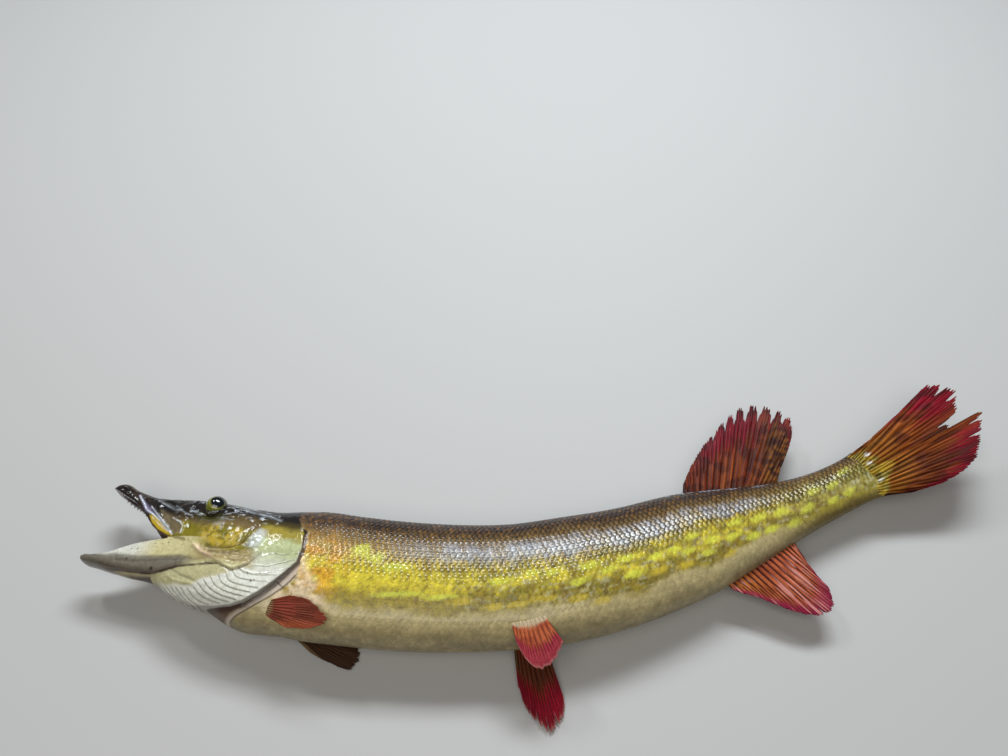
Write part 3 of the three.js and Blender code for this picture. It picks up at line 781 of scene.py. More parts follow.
def bodyColour(points):
    x, y, _ = points.T
    level = flankLevel(x, y)
    level = level + (noise(points, 16, 1) - 0.5) * 0.14 + (noise(points, 4, 2) - 0.5) * 0.10
    t = bodyTones
    colour = graded(level, bodyGrades['body'], t)
    rear = smooth(x, 262, 318)
    colour = mix(colour, graded(level, bodyGrades['stem'], t), rear)
    onSide = smooth(level, -0.68, -0.5) * (1 - smooth(level, 0.5, 0.75))
    chained = smooth(x, 60, 120) * smooth(level, -0.66, -0.54) * (1 - smooth(level, 0.2, 0.45))
    spots, lime = blotches(points)
    net = smooth(noise(points * (0.6, 1, 1), 2.4, 3), 0.3, 0.65)
    colour = mix(colour, t['net'], 0.62 * chained * (1 - spots) * net)
    flecks = smooth(noise(points * (0.7, 1, 1), 1.3, 15), 0.60, 0.75)
    colour = mix(colour, t['fleck'], 0.55 * chained * (1 - spots) * flecks)
    streaks = smooth(noise(points * (1.2, 0.35, 1), 2.0, 16), 0.50, 0.74)
    colour = mix(colour, t['brown'], 0.5 * streaks * (1 - 0.85 * spots) * onSide
                 * smooth(x, 35, 70))
    spotTone = mix(t['gold'], t['lime'], lime)
    colour = mix(colour, spotTone, (0.78 - 0.2 * rear) * spots * smooth(level, -0.8, -0.6))
    warm = 1 - smooth(np.hypot((x - 14) / 22, (y + 1) / 22), 0.35, 1.15)
    colour = mix(colour, t['orange'], 0.75 * warm * smooth(noise(points, 4, 4), 0.3, 0.62))
    pale = zone(x, y, [(0, 4), (7, 2), (11, -5), (20, -14), (24, -22), (-8, -26), (-4, -10)], 3.2)
    colour = mix(colour, t['pinkish'], 0.85 * pale * smooth(noise(points, 3.5, 42), 0.1, 0.5))
    # the scales' silvery sheen shows along the upper flank, painted brighter in broken bars as a
    # painted reflection, with darker bars between
    silverAndSheen = smooth(level, 0.06, 0.2) * (1 - smooth(level, 0.34, 0.52))
    silverAndSheen *= smooth(x, 40, 95) * (1 - smooth(x, 262, 300))
    slanted = points * (1, 0.3, 1) + points[:, [1, 0, 2]] * (0.45, 0, 0)
    bars = 0.5 * smooth(noise(slanted, 2.4, 44), 0.3, 0.6) + 0.5 * noise(points, 1.1, 46)
    colour = mix(colour, t['silverAndSheen'], 0.72 * silverAndSheen * bars)
    colour = mix(colour, t['brownish'], 0.3 * silverAndSheen * (1 - bars))
    # painted highlight: a broken pale line along the back below the dorsal fin
    paintedGlint = 1 - smooth(np.abs(y - bodyTop(x) + 3.2), 0.5, 1.5)
    paintedGlint *= smooth(x, 222, 232) * (1 - smooth(x, 284, 298)) * smooth(noise(points, 3, 45), 0.3, 0.5)
    colour = mix(colour, t['silverAndSheen'], 0.6 * paintedGlint)
    specks = smooth(noise(points, 1.0, 17), 0.58, 0.78)
    colour = mix(colour, t['dark'], 0.4 * specks * onSide * (1 - 0.8 * spots))
    # rust-brown specks along the dark back
    rust = smooth(noise(points, 1.4, 19), 0.6, 0.75) * smooth(level, 0.4, 0.6)
    colour = mix(colour, t['orange'], 0.22 * rust)
    shade = 0.84 + 0.32 * noise(points, 2.2, 5)
    return colour * shade[:, None]


headTones = {
    'crown': '#1f1c1a', 'snout': '#33291f', 'snoutTop': '#655a4e', 'cheekBase': '#7d7226',
    'cheek': '#b59a35', 'brown': '#6d5b3a', 'umber': '#3a311f', 'underEye': '#4a4a1f',
    'leaf': '#7a6f1c', 'maxilla': '#c6a72c', 'lilacAndSheen': '#8d82a0', 'lacrimal': '#70634a',
    'corner': '#5f4736', 'lip': '#cbcabd', 'lipRear': '#c2b888', 'jawBand': '#736c5f',
    'jawFront': '#6a655a', 'jawFoot': '#5a5045', 'chin': '#51443d', 'chinEdge': '#a89c78',
    'gular': '#b9b286', 'tan': '#9c8c60', 'olive': '#9a8a38',
    'operTop': '#4a3f1e', 'celadon': '#b3b98a', 'pale': '#c6c9ae', 'membrane': '#dcdccf',
    'cleftShade': '#43332a', 'isthmus': '#5f4c3a', 'cleithrum': '#c2b3a2', 'mouth': '#5b4438',
    'paintedHighlight': '#ccd4dc', 'pink': '#d9b7a4', 'dark': '#1f1a17', 'rayLine': '#85816f',
}
headTones = {name: tone(text) for name, text in headTones.items()}
headGrades = {  # the head's tones by height, in front of and on the gill cover
    'cheek': [(-24, 'membrane'), (-19.5, 'gular'), (-9, 'gular'), (-6.5, 'tan'), (-1, 'tan'),
              (1.5, 'cheekBase'), (12, 'cheekBase'), (16.5, 'brown'), (20.5, 'umber'),
              (25, 'crown')],
    'cover': [(-22, 'membrane'), (-9, 'membrane'), (-3, 'pale'), (3, 'celadon'),
              (8.5, 'celadon'), (12, 'olive'), (15, 'olive'), (19, 'operTop'), (23, 'crown')],
}
headZones = [  # painted one over the other: (tone, how strong, soft edge, outline)
    ('membrane', 1, 1.4, [(-77, -19.3), (-66.4, -20.9), (-58, -21.4), (-52, -21), (-48.5, -18.6),
                          (-45, -16.7), (-39.4, -15.5), (-31.5, -12.5), (-24, -9), (-6, -12),
                          (2, -5), (7, -6), (4, -12), (-12, -24), (-30, -35), (-60, -35),
                          (-84, -26)]),
    ('leaf', 0.85, 2.0, [(-74, 15.3), (-70, 17.1), (-64.7, 14.6), (-60, 9.8), (-62.8, 7.3),
                         (-69, 8)]),
    ('underEye', 0.7, 2.2, [(-67, 24), (-60, 22), (-50, 22), (-45, 20), (-52, 16.5),
                            (-62, 16.5)]),
    ('brown', 0.7, 2.6, [(-46, 22), (-38, 23), (-26, 21), (-23, 15), (-30, 12.5), (-38, 15)]),
    # painted highlights: the two pale pink patches by the mouth's corner
    ('pink', 0.6, 1.2, [(-60.3, 1.9), (-57.4, 2.8), (-52.2, -0.1), (-51.8, -2.7), (-56.5, -1)]),
    ('pink', 0.5, 1.0, [(-51.2, -2.3), (-44.3, -4), (-44.3, -5.9), (-49.5, -4.4)]),
    # painted highlights: the two pale blue-white patches below, on the cheek and under the eye
    ('paintedHighlight', 0.55, 2.0, [(-27.8, 3.7), (-21.4, 2.3), (-18.9, 7.3), (-18.5, 13.9),
                          (-23.4, 14.9), (-26, 10.3)]),
    ('paintedHighlight', 0.25, 1.6, [(-52.4, 15.7), (-46, 16.9), (-46.6, 14), (-52, 13.8)]),
]
cheekOutline = [(-59, 10.5), (-57.4, 12.5), (-52.3, 14), (-46.2, 14.5), (-41.3, 15), (-34.4, 13.5),
                (-30.2, 10), (-29.5, 4.3), (-33.6, 2), (-40.4, 1), (-48.4, 2.1), (-56, 5)]
jawZones = [
    ('snoutTop', 0.7, 1.6, [(-126, 38), (-117, 41), (-108, 37), (-110, 34), (-118, 36.5)]),
    # painted shade in the hollow at the snout's tip
    ('dark', 0.85, 1.2, [(-122, 34.8), (-117, 36), (-113, 33.5), (-111, 29), (-112, 26.5),
                         (-119.5, 30.6)]),
    ('lacrimal', 0.9, 1.4, [(-90, 22.5), (-83, 20), (-74, 15.6), (-71.5, 12.6), (-71, 8),
                            (-77, 8.2), (-84, 14)]),
    # a pale purple band along the upper jaw: partly its paint, partly a painted sheen
    ('lilacAndSheen', 0.7, 0.9, [(-108, 31), (-103, 27.5), (-97, 23.6), (-88, 16.8), (-79, 9.4),
                         (-83, 11.6), (-92, 18.6), (-99, 20.6)]),
    ('maxilla', 0.95, 0.6, [(-95.6, 18.7), (-92, 18.4), (-86.6, 15.2), (-77, 8.4),
                            (-75.7, 6.8), (-80.9, 8.3), (-86.4, 10.4), (-92.1, 14.3)]),
    ('corner', 0.9, 0.7, [(-93, 13.8), (-84.4, 9), (-76, 6.4), (-85, 6.2), (-94, 12)]),
]
headLines = [  # fine painted lines: (tone, how strong, half width, line)
    ('dark', 0.85, 1.0, [(-126, 33.8), (-121.5, 32.2), (-116.5, 29.8), (-109, 26.8),
                         (-104, 23.6)]),
    # painted highlights: the pale lines along the snout's ridges and the brow; the dark line between
    # them is painted shade in the snout's groove
    ('paintedHighlight', 0.75, 0.45, [(-107.2, 30.2), (-101.7, 25), (-98.3, 21.2), (-92, 18.4),
                           (-86.6, 15.1), (-77, 8.4)]),
    ('paintedHighlight', 0.6, 0.35, [(-96.5, 23.7), (-88.4, 17.7), (-80.5, 11.9), (-76, 7.8)]),
    ('paintedHighlight', 0.5, 0.35, [(-93, 17.2), (-86.4, 13), (-80, 9.6)]),
    ('paintedHighlight', 0.65, 0.4, [(-79.4, 17.5), (-73.6, 15.3), (-71.1, 12.9), (-70.4, 8.6)]),
    ('dark', 0.55, 0.5, [(-104, 28.9), (-98, 23.5), (-90, 17.8), (-79, 10)]),
    ('paintedHighlight', 0.3, 0.5, [(-94.5, 28.6), (-86, 25.2), (-80.9, 23), (-77, 24)]),
    ('paintedHighlight', 0.25, 0.45, [(-82, 26.4), (-76, 23), (-71, 20.6), (-68.7, 20.6)]),
    ('paintedHighlight', 0.3, 0.6, creases['brow']),
    # painted shade: dark lines in the grooves of the cheek and along the jaw's foot
    ('cleftShade', 0.65, 0.4, [(-51.2, 1.1), (-45.6, 0.2), (-39.7, 0.6), (-35.1, 1.7), (-30.9, 3.9),
                          (-29.1, 6.9), (-28.4, 10.2)]),
    ('cleftShade', 0.4, 0.3, [(-48, -2.4), (-42, -2.4), (-35, -2), (-29.5, 0)]),
    ('cleftShade', 0.75, 0.4, [(-47, -8.4), (-40.1, -8.5), (-35.8, -9.8), (-30.6, -11.7),
                          (-27.2, -10.3), (-22.4, -7.4)]),
    ('cleftShade', 0.4, 0.3, [(-22.4, -7.4), (-17.6, -0.2)]),
    ('cleftShade', 0.75, 0.5, [(-86.4, -15.4), (-77.9, -15.2), (-71.7, -13.8), (-63.9, -11.7),
                          (-57.8, -10.9), (-51.7, -10.1), (-45.9, -9.1), (-40.1, -8.7)]),
    # painted shade: the jaw's and the chin's creases drawn darker
    ('jawFoot', 0.35, 0.5, creases['jaw']),
    ('jawFoot', 0.3, 0.4, creases['underJaw']),
    ('rayLine', 0.5, 0.35, creases['chin']),
    # painted shade: dark lines under the three steps behind the cheek
    ('rayLine', 0.9, 0.35, [(3.9, 3.4), (-0.1, 2.5), (-5.6, 0.7), (-9.5, 1.1), (-12.5, 0.1)]),
    ('rayLine', 0.9, 0.35, [(2, -0.9), (-1.7, -2.6), (-6.6, -4.8), (-11.5, -6.9),
                            (-18.1, -7.1)]),
    ('rayLine', 0.8, 0.3, [(1, -5.4), (-5.4, -8.4), (-10.4, -10.4), (-16.5, -11.7),
                           (-27.6, -10.2)]),
    ('lip', 0.5, 0.6, [(3.2, 13), (4.2, 6.8), (3.2, -1.4), (-1.4, -8), (-6, -13.5)]),
]
headSpecks = [  # (x, y, size) of the dark marks on the jaw and the gill cover
    (-96.2, -3.4, 0.6), (-92.6, -3.1, 0.6), (-96.5, -9.5, 0.8), (-79.9, -13.2, 1.3),
    (-83.3, 1.2, 0.5), (-78.9, 1.2, 0.5), (-17.5, -15.5, 0.8), (-15.8, -15, 0.6),
    (-20.6, -11.8, 0.5), (-75.5, 2.5, 0.6),
]


def headColour(points, normals, rise):
    x, y, _ = points.T
    t = headTones
    level = y + (noise(points, 7, 6) - 0.5) * 3.5 + (noise(points, 2.5, 7) - 0.5) * 1.5
    colour = mix(graded(level, headGrades['cheek'], t), graded(level, headGrades['cover'], t),
                 smooth(x + 0.25 * y, -25, -17))
    for name, strength, soft, outline in headZones:
        share = strength * zone(x, y, outline, soft)
        colour = mix(colour, t[name], np.clip(share * (0.6 + 0.8 * noise(points, 2.0, 8)), 0, 1))
    # the cheek is stippled: gold and dark olive specks
    cheek = zone(x, y, cheekOutline, 2.4)
    colour = mix(colour, t['cheek'], 0.85 * cheek * smooth(noise(points, 4.0, 35), 0.2, 0.5))
    colour = mix(colour, t['underEye'], 0.55 * cheek * smooth(noise(points, 1.5, 36), 0.52, 0.75))
    colour = mix(colour, t['gular'], 0.35 * cheek * smooth(noise(points, 1.1, 37), 0.62, 0.8))
    # painted highlights: broken pale specks over the top of the head
    paintedCrownGlints = smooth(noise(points * (0.5, 1, 1), 1.5, 38), 0.66, 0.78) * smooth(y, 17, 21)
    colour = mix(colour, t['paintedHighlight'], 0.4 * paintedCrownGlints * (x < -16))
    upper = (1 - smooth(x, -84, -72)) * (y > 6.4)
    colour = mix(colour, t['snout'], upper)
    colour = mix(colour, t['crown'], upper * smooth(x, -106, -94) * smooth(y, 17, 24))
    for name, strength, soft, outline in jawZones:
        colour = mix(colour, t[name], strength * zone(x, y, outline, soft) * (y > 6))
    # the lower jaw: a pale lip over a grey band, darker at the tip and under the chin; the pale top,
    # the band darkening down to the jaw's foot and the dark chin are partly the jaw's paint, partly
    # painted light and shade
    lower = (1 - smooth(x, -66, -48)) * (y < 6.4)
    foot = jawFoot(x)
    top = jawGroove(x)
    band = mix(t['jawBand'], t['jawFoot'], 1 - smooth(y, foot + 0.2, foot + 3.5))
    front = 1 - smooth(x, -122, -108)
    band = mix(band, t['jawFront'], 0.8 * front)
    lipTone = mix(t['lip'], t['lipRear'], smooth(x, -98, -78))
    band = mix(band, lipTone, smooth(y, top - 1.2, top + 2.2) * (1 - 0.6 * front))
    band = mix(band, t['chinEdge'], (1 - smooth(y, foot - 0.9, foot - 0.4))
               * smooth(x, -110, -96))
    band = mix(band, t['chin'], (1 - smooth(y, foot - 2.2, foot - 1.2)) * (x < -80))
    below = 1 - smooth(y, foot - 0.8, foot - 0.2)
    colour = mix(colour, band, lower * np.where(x < -80, 1, 1 - below))
    for name, strength, width, line in headLines:
        broken = smooth(noise(points, 3.0, 40), 0.15, 0.5)
        colour = mix(colour, t[name], strength * (0.35 + 0.65 * broken)
                     * (1 - smooth(outlineDistance(x, y, line), 0.4 * width, 1.7 * width)))
    for line in gillRayLines:
        away = outlineDistance(x, y, line)
        colour = mix(colour, t['rayLine'], 0.65 * (1 - smooth(away, 0.05, 0.38)))
    for px, py, size in headSpecks:
        colour = mix(colour, t['dark'], 0.8 * (1 - smooth(np.hypot(x - px, y - py), 0.4 * size,
                                                         1.1 * size)))
    # painted shade: the mouth's lining is darker towards the front of the open mouth
    mouthTone = mix(t['mouth'], t['dark'], 0.8 * (1 - smooth(x, -112, -98)))
    inMouth = insideMouth(points, normals)
    colour = mix(colour, mouthTone, inMouth)
    # the relief also shades the paint: darker in the grooves and lighter on the ridges, painted
    # shade and light
    shade = (0.86 + 0.28 * noise(points, 1.3, 9)) * np.clip(1 + 0.35 * rise, 0.7, 1.2)
    return colour * shade[:, None]


def gillColour(points, colour):  # what shows behind and below the gill cover's free edge
    x, y, _ = points.T
    t = headTones
    band = ([(2, 10), (5, 4)] + creases['shoulder']
            + [(-34, -40), (-44, -36), (-34, -31), (-20, -25), (-8, -16), (-2, -8)])
    colour = mix(colour, t['cleithrum'], zone(x, y, band, 0.7) * (0.8 + 0.2 * noise(points, 3, 41)))
    # the throat's underside below the gill membrane, painted dark brown: partly its paint, partly
    # painted shade under the membrane
    wedge = [(-14, -21), (-20, -27), (-27, -31.4), (-34, -38), (-90, -36), (-80, -16), (-40, -20)]
    colour = mix(colour, t['isthmus'], zone(x, y, wedge, 1.4))
    # painted shade: dark in the gap under the gill cover's free edge and in the shoulder's crease
    away = outlineDistance(x, y, fish['coverEdge'])
    colour = mix(colour, t['cleftShade'], 0.9 * (1 - smooth(away, 1.2, 3.4)))
    crack = outlineDistance(x, y, creases['shoulder'])
    colour = mix(colour, t['cleftShade'], 0.8 * (1 - smooth(crack, 0.2, 0.8)))
    branch = outlineDistance(x, y, [(-5.7, -12.4), (-0.6, -15.3)])
    colour = mix(colour, t['dark'], 0.7 * (1 - smooth(branch, 0.15, 0.6)))
    # painted shade: a small dark pit behind the gill cover
    paintedPit = np.hypot(x - 1.6, y - 17.1)
    return mix(colour, t['dark'], 0.9 * (1 - smooth(paintedPit, 0.8, 2.0)))


jawFoot = smoothLine([(-127, -11.6), (-120, -13.2), (-107.5, -14.7), (-96.7, -15.1),
                      (-86.4, -15), (-77.9, -14.8), (-71.7, -13.4), (-63.9, -11.3),
                      (-51.7, -9.7), (-42, -8.4)])
upperLip = smoothLine(fish['upperLip'])
jawGroove = smoothLine([(-127, -10.4)] + creases['jaw'] + [(-42, -6.5)])


def insideMouth(points, normals):
    x, y, z = points.T
    wide = np.abs(z)
    inward = normals[:, 2] * np.sign(z) < 0.15
    upper = (x < -73) & (y > 2) & (wide < jawHalf['up'](x) - 1) & inward & (normals[:, 1] < 0.2)
    lower = (x < -66) & (y <= 5) & (wide < jawHalf['low'](x) - 1.6) & inward
    lower &= (y > -14) & (normals[:, 1] > -0.3)
    middle, reach = fish['lining']
    throat = (((points - middle) / reach) ** 2).sum(axis=1) < 1.05
    return (upper | lower | throat).astype(float)


def skinColour(points, normals, rise):
    x, y, _ = points.T
    behind = gillColour(points, bodyColour(points))
    return mix(behind, headColour(points, normals, rise), headShare(x, y))


def headShare(x, y):
    edge = [(-140, 60), (-12, 60), (-4, 25)] + fish['coverEdge'] + [(-140, -18)]
    return zone(x, y, edge, 0.35)


skinRise = reliefOnSkin()
skinTree = BVHTree.FromObject(skin, bpy.context.evaluated_depsgraph_get())
setPaint(skin, skinColour(pointsOf(skin), normalsOf(skin), skinRise))
bendIntoPose(skin)
dress(skin, skinPaint, 'painted_skin', 'head', 'upper_jaw', 'lower_jaw', 'gill_cover_left',
      'gill_cover_right', 'trunk_front', 'trunk_middle', 'trunk_rear', 'tail_stem')
print('skin painted')


finTones = {
    'orange': '#b5682a', 'amber': '#9a6220', 'rust': '#8a3514', 'crimson': '#8c0f24',
    'magenta': '#a32348', 'salmon': '#c0653f', 'maroon': '#3d1212', 'dark': '#2a1411',
    'olive': '#6d6428', 'gold': '#b79a36', 'cream': '#cbb896', 'pink': '#cf8f86',
    'brick': '#8a3028', 'brown': '#4a3220', 'tan': '#8c7350', 'paintedGlint': '#e4e6e4',
    'stem': '#988b44',
}
finTones = {name: tone(text) for name, text in finTones.items()}


def rayPattern(u, v, rays, splitAt=(0.38, 0.7)):
    single = np.abs((u * rays) % 1 - 0.5) * 2
    double = np.abs((u * rays * 2) % 1 - 0.5) * 2
    fourfold = np.abs((u * rays * 4) % 1 - 0.5) * 2
    profile = 1 - single
    profile = profile + (1 - double - profile) * smooth(v, splitAt[0], splitAt[0] + 0.2)
    return profile + (1 - fourfold - profile) * smooth(v, splitAt[1], splitAt[1] + 0.15)


def makeFin(name, fin, *nodes):
    rays = fin['rays']
    bpy.ops.mesh.primitive_grid_add(x_subdivisions=rays * fin['columns'],
                                    y_subdivisions=fin['rows'], size=1)
    obj = bpy.context.object
    obj.name = name
    u, v, _ = (pointsOf(obj) + 0.5).T
    base, tip = fairCurve(fin['base'], u), fairCurve(fin['tip'], u)
    rng = np.random.default_rng(fin['seed'])
    # every ray ends a little short of the line, and the web between two rays shorter still
    ends = rng.random(rays * 4 + 2)
    place = u * rays * 4
    step = place.astype(int)
    rag = ends[step] + (ends[step + 1] - ends[step]) * (place - step)
    web = 1 - rayPattern(u, v * 0 + 1, rays)
    reach = 1 - fin['ragged'] * rag - fin['notch'] * web ** 2
    for where, wide, deep in fin['slits']:
        reach = reach - deep * np.clip(1 - np.abs(u - where) / wide, 0, 1)
    across = np.cross(base[:1] - base[-1:], (tip - base).mean(0)[None])[0]
    across /= np.linalg.norm(across)
    reachV = v * reach
    points = base + (tip - base) * reachV[:, None]
    ridge = rayPattern(u, reachV, rays)
    warp = fin['warp'] * np.sin(u * rays * math.pi + 3 * noise(points, 9, fin['seed'])) * v
    points = points + across * warp[:, None]
    thick = fin['thick'][0] + (fin['thick'][1] - fin['thick'][0]) * v
    thick = np.maximum(thick * (0.35 + 0.65 * smooth(ridge, 0.1, 0.7)), fin['thin'])
    setPoints(obj, points)
    group = obj.vertex_groups.new(name='thickness')
    most = thick.max()
    for index, value in enumerate(thick / most):
        group.add([index], float(value), 'REPLACE')
    setPaint(obj, fin['paint'](u, v, ridge, points))
    applyModifier(obj, 'SOLIDIFY', thickness=most, offset=0, vertex_group='thickness',
                  thickness_vertex_group=0.0, use_even_offset=False)
    obj.vertex_groups.clear()
    outwards(obj)
    bendIntoPose(obj)
    dress(obj, finPaint, 'fin', *nodes)
    print('fin', name, len(obj.data.polygons))


def finStreaks(u, v, rays, seed):  # lengthwise streaks that follow the rays, 0 to 1
    across = np.column_stack([u * rays * 5, v * 3, u * 0 + seed])
    return noise(across, 1.0, seed)


def dorsalPaint(u, v, ridge, points):
    t = finTones
    streak = finStreaks(u, v, 16, 11)
    colour = mix(t['rust'], t['olive'], 1 - smooth(v, 0.02, 0.12))
    colour = mix(colour, t['orange'], 0.5 * smooth(streak, 0.5, 0.75) * (1 - smooth(v, 0.3, 0.6)))
    colour = mix(colour, t['crimson'], smooth(v + 0.3 * (streak - 0.5), 0.52, 0.78)
                 * smooth(u, 0.06, 0.24))
    rear = smooth(u + 0.2 * (v - 0.5), 0.6, 0.78)
    colour = mix(colour, t['amber'], rear * 0.8)
    colour = mix(colour, t['dark'], rear * smooth(noise(points, 2.6, 12), 0.42, 0.6) * 0.85)
    colour = mix(colour, t['crimson'], rear * smooth(v, 0.8, 0.92) * 0.7)
    colour = mix(colour, t['maroon'], 0.6 * smooth(noise(points, 5, 13), 0.45, 0.7))
    colour = mix(colour, t['dark'], 0.6 * (1 - smooth(ridge, 0.1, 0.45)))
    colour = mix(colour, t['dark'], 0.8 * (1 - smooth(u, 0.015, 0.05)))
    return colour * (0.22 + 0.6 * streak)[:, None]


def analPaint(u, v, ridge, points):
    t = finTones
    streak = finStreaks(u, v, 14, 21)
    colour = mix(t['salmon'], t['orange'],
                 (1 - smooth(u, 0.1, 0.45)) * (1 - smooth(v, 0.5, 0.8)))
    colour = mix(colour, t['rust'], 0.5 * smooth(noise(points, 4, 22), 0.4, 0.7))
    colour = mix(colour, t['magenta'], smooth(v + 0.25 * (streak - 0.5), 0.66, 0.92))
    colour = mix(colour, t['pink'], 0.9 * (1 - smooth(v, 0.04, 0.14)) * smooth(ridge, 0.4, 0.7))
    colour = mix(colour, t['maroon'], 0.9 * (1 - smooth(ridge, 0.25, 0.6)))
    colour = mix(colour, t['pink'], 0.7 * smooth(streak, 0.55, 0.75) * smooth(v, 0.2, 0.4))
    colour = mix(colour, t['dark'], 0.7 * smooth(u, 0.96, 0.99))
    return colour * (0.55 + 0.55 * streak)[:, None]


def tailPaint(u, v, ridge, points):
    t = finTones
    x, y, _ = points.T
    streak = finStreaks(u, v, 18, 31)
    colour = mix(t['amber'], t['rust'], smooth(v, 0.25, 0.5) * 0.7)
    colour = mix(colour, t['orange'], 0.6 * smooth(streak, 0.5, 0.75) * (1 - smooth(v, 0.6, 0.8)))
    upper = 1 - smooth(u, 0.35, 0.5)
    lower = smooth(u, 0.55, 0.7)
    colour = mix(colour, t['crimson'], upper * smooth(v + 0.35 * (streak - 0.5), 0.55, 0.8))
    colour = mix(colour, t['crimson'], lower * smooth(v + 0.35 * (streak - 0.5), 0.66, 0.88))
    colour = mix(colour, t['maroon'], 0.7 * (1 - smooth(ridge, 0.12, 0.45)) * smooth(v, 0.1, 0.3))
    colour = mix(colour, t['maroon'], 0.6 * smooth(noise(points * (0.4, 1, 1), 4, 33), 0.5, 0.75)
                 * smooth(v, 0.15, 0.35))
    colour = mix(colour, t['dark'], 0.9 * np.maximum(smooth(u, 0.965, 0.99),
                                                     1 - smooth(u, 0.01, 0.035)))
    colour = mix(colour, t['dark'], 0.8 * (1 - smooth(np.abs(u - 0.52), 0.03, 0.08))
                 * smooth(v, 0.55, 0.8))
    colour = colour * (0.4 + 0.62 * streak)[:, None]
    # the scaled skin runs out over the root of the fin, gold; the few bright specks on it are
    # painted highlights
    root = 1 - smooth(v + 0.16 * (noise(points, 3, 34) - 0.5), 0.08, 0.2)
    skinTone = mix(t['stem'], t['gold'], smooth(noise(points, 3, 35), 0.35, 0.65))
    skinTone = mix(skinTone, t['dark'], 0.6 * smooth(noise(points, 1.3, 36), 0.55, 0.75))
    colour = mix(colour, skinTone, root)
    # painted highlights: three bright specks
    for brightX, brightY in ((364, 10), (361, 4.6), (359, -8)):
        near = 1 - smooth(np.hypot((x - brightX) / 2.6, (y - brightY) / 1.5), 0.5, 1)
        colour = mix(colour, t['paintedGlint'], 0.8 * near)
    patch = 1 - smooth(np.hypot((x - 368) / 9, (y + 2) / 4), 0.4, 1)
    return mix(colour, t['gold'], 0.7 * patch)


def leftPectoralPaint(u, v, ridge, points):
    t = finTones
    streak = finStreaks(u, v, 10, 41)
    colour = mix(t['brick'], t['maroon'], 0.4 * smooth(noise(points, 6, 43), 0.35, 0.7))
    colour = colour * 0.84 + t['tan'] * 0.16
    colour = mix(colour, t['tan'], 0.9 * (1 - smooth(v, 0.03, 0.14)))
    colour = mix(colour, t['salmon'], 0.55 * smooth(u, 0.55, 0.9) * smooth(v, 0.3, 0.7))
    colour = mix(colour, t['brown'], 0.22 * (1 - smooth(ridge, 0.1, 0.5)))
    return colour * (0.8 + 0.3 * streak)[:, None]


def rightPectoralPaint(u, v, ridge, points):
    t = finTones
    streak = finStreaks(u, v, 10, 51)
    # painted shade: the right pectoral, lying under the body, is painted dark brown, darker than the
    # left
    colour = mix(t['brown'], t['tan'], smooth(u, 0.8, 0.95))
    colour = mix(colour, t['dark'], 0.7 * (1 - smooth(ridge, 0.15, 0.55)))
    return colour * (0.55 + 0.5 * streak)[:, None]


def leftPelvicPaint(u, v, ridge, points):
    t = finTones
    streak = finStreaks(u, v, 10, 61)
    colour = mix(t['salmon'], t['brick'], 0.5 * smooth(noise(points, 4, 63), 0.4, 0.7))
    colour = mix(colour, t['magenta'], 0.75 * smooth(v + 0.25 * (streak - 0.5), 0.5, 0.72))
    colour = mix(colour, t['pink'], 0.6 * smooth(v, 0.93, 0.99))
    colour = mix(colour, t['maroon'], 0.6 * (1 - smooth(ridge, 0.15, 0.5)) * smooth(v, 0.12, 0.3))
    colour = mix(colour, t['cream'], 1 - smooth(v + 0.1 * (streak - 0.5), 0.08, 0.2))
    return colour * (0.62 + 0.45 * streak)[:, None]


def rightPelvicPaint(u, v, ridge, points):
    t = finTones
    streak = finStreaks(u, v, 10, 71)
    colour = mix(t['rust'], t['olive'],
                 np.maximum(1 - smooth(u, 0.04, 0.14), 1 - smooth(v, 0.05, 0.2)))
    colour = mix(colour, t['brown'], 0.7 * smooth(v, 0.15, 0.3) * (1 - smooth(v, 0.5, 0.7)))
    colour = mix(colour, t['crimson'], smooth(v + 0.2 * (streak - 0.5), 0.5, 0.72))
    colour = mix(colour, t['pink'], 0.8 * smooth(v, 0.95, 0.995))
    colour = mix(colour, t['maroon'], 0.8 * (1 - smooth(ridge, 0.15, 0.5)))
    return colour * (0.5 + 0.6 * streak)[:, None]


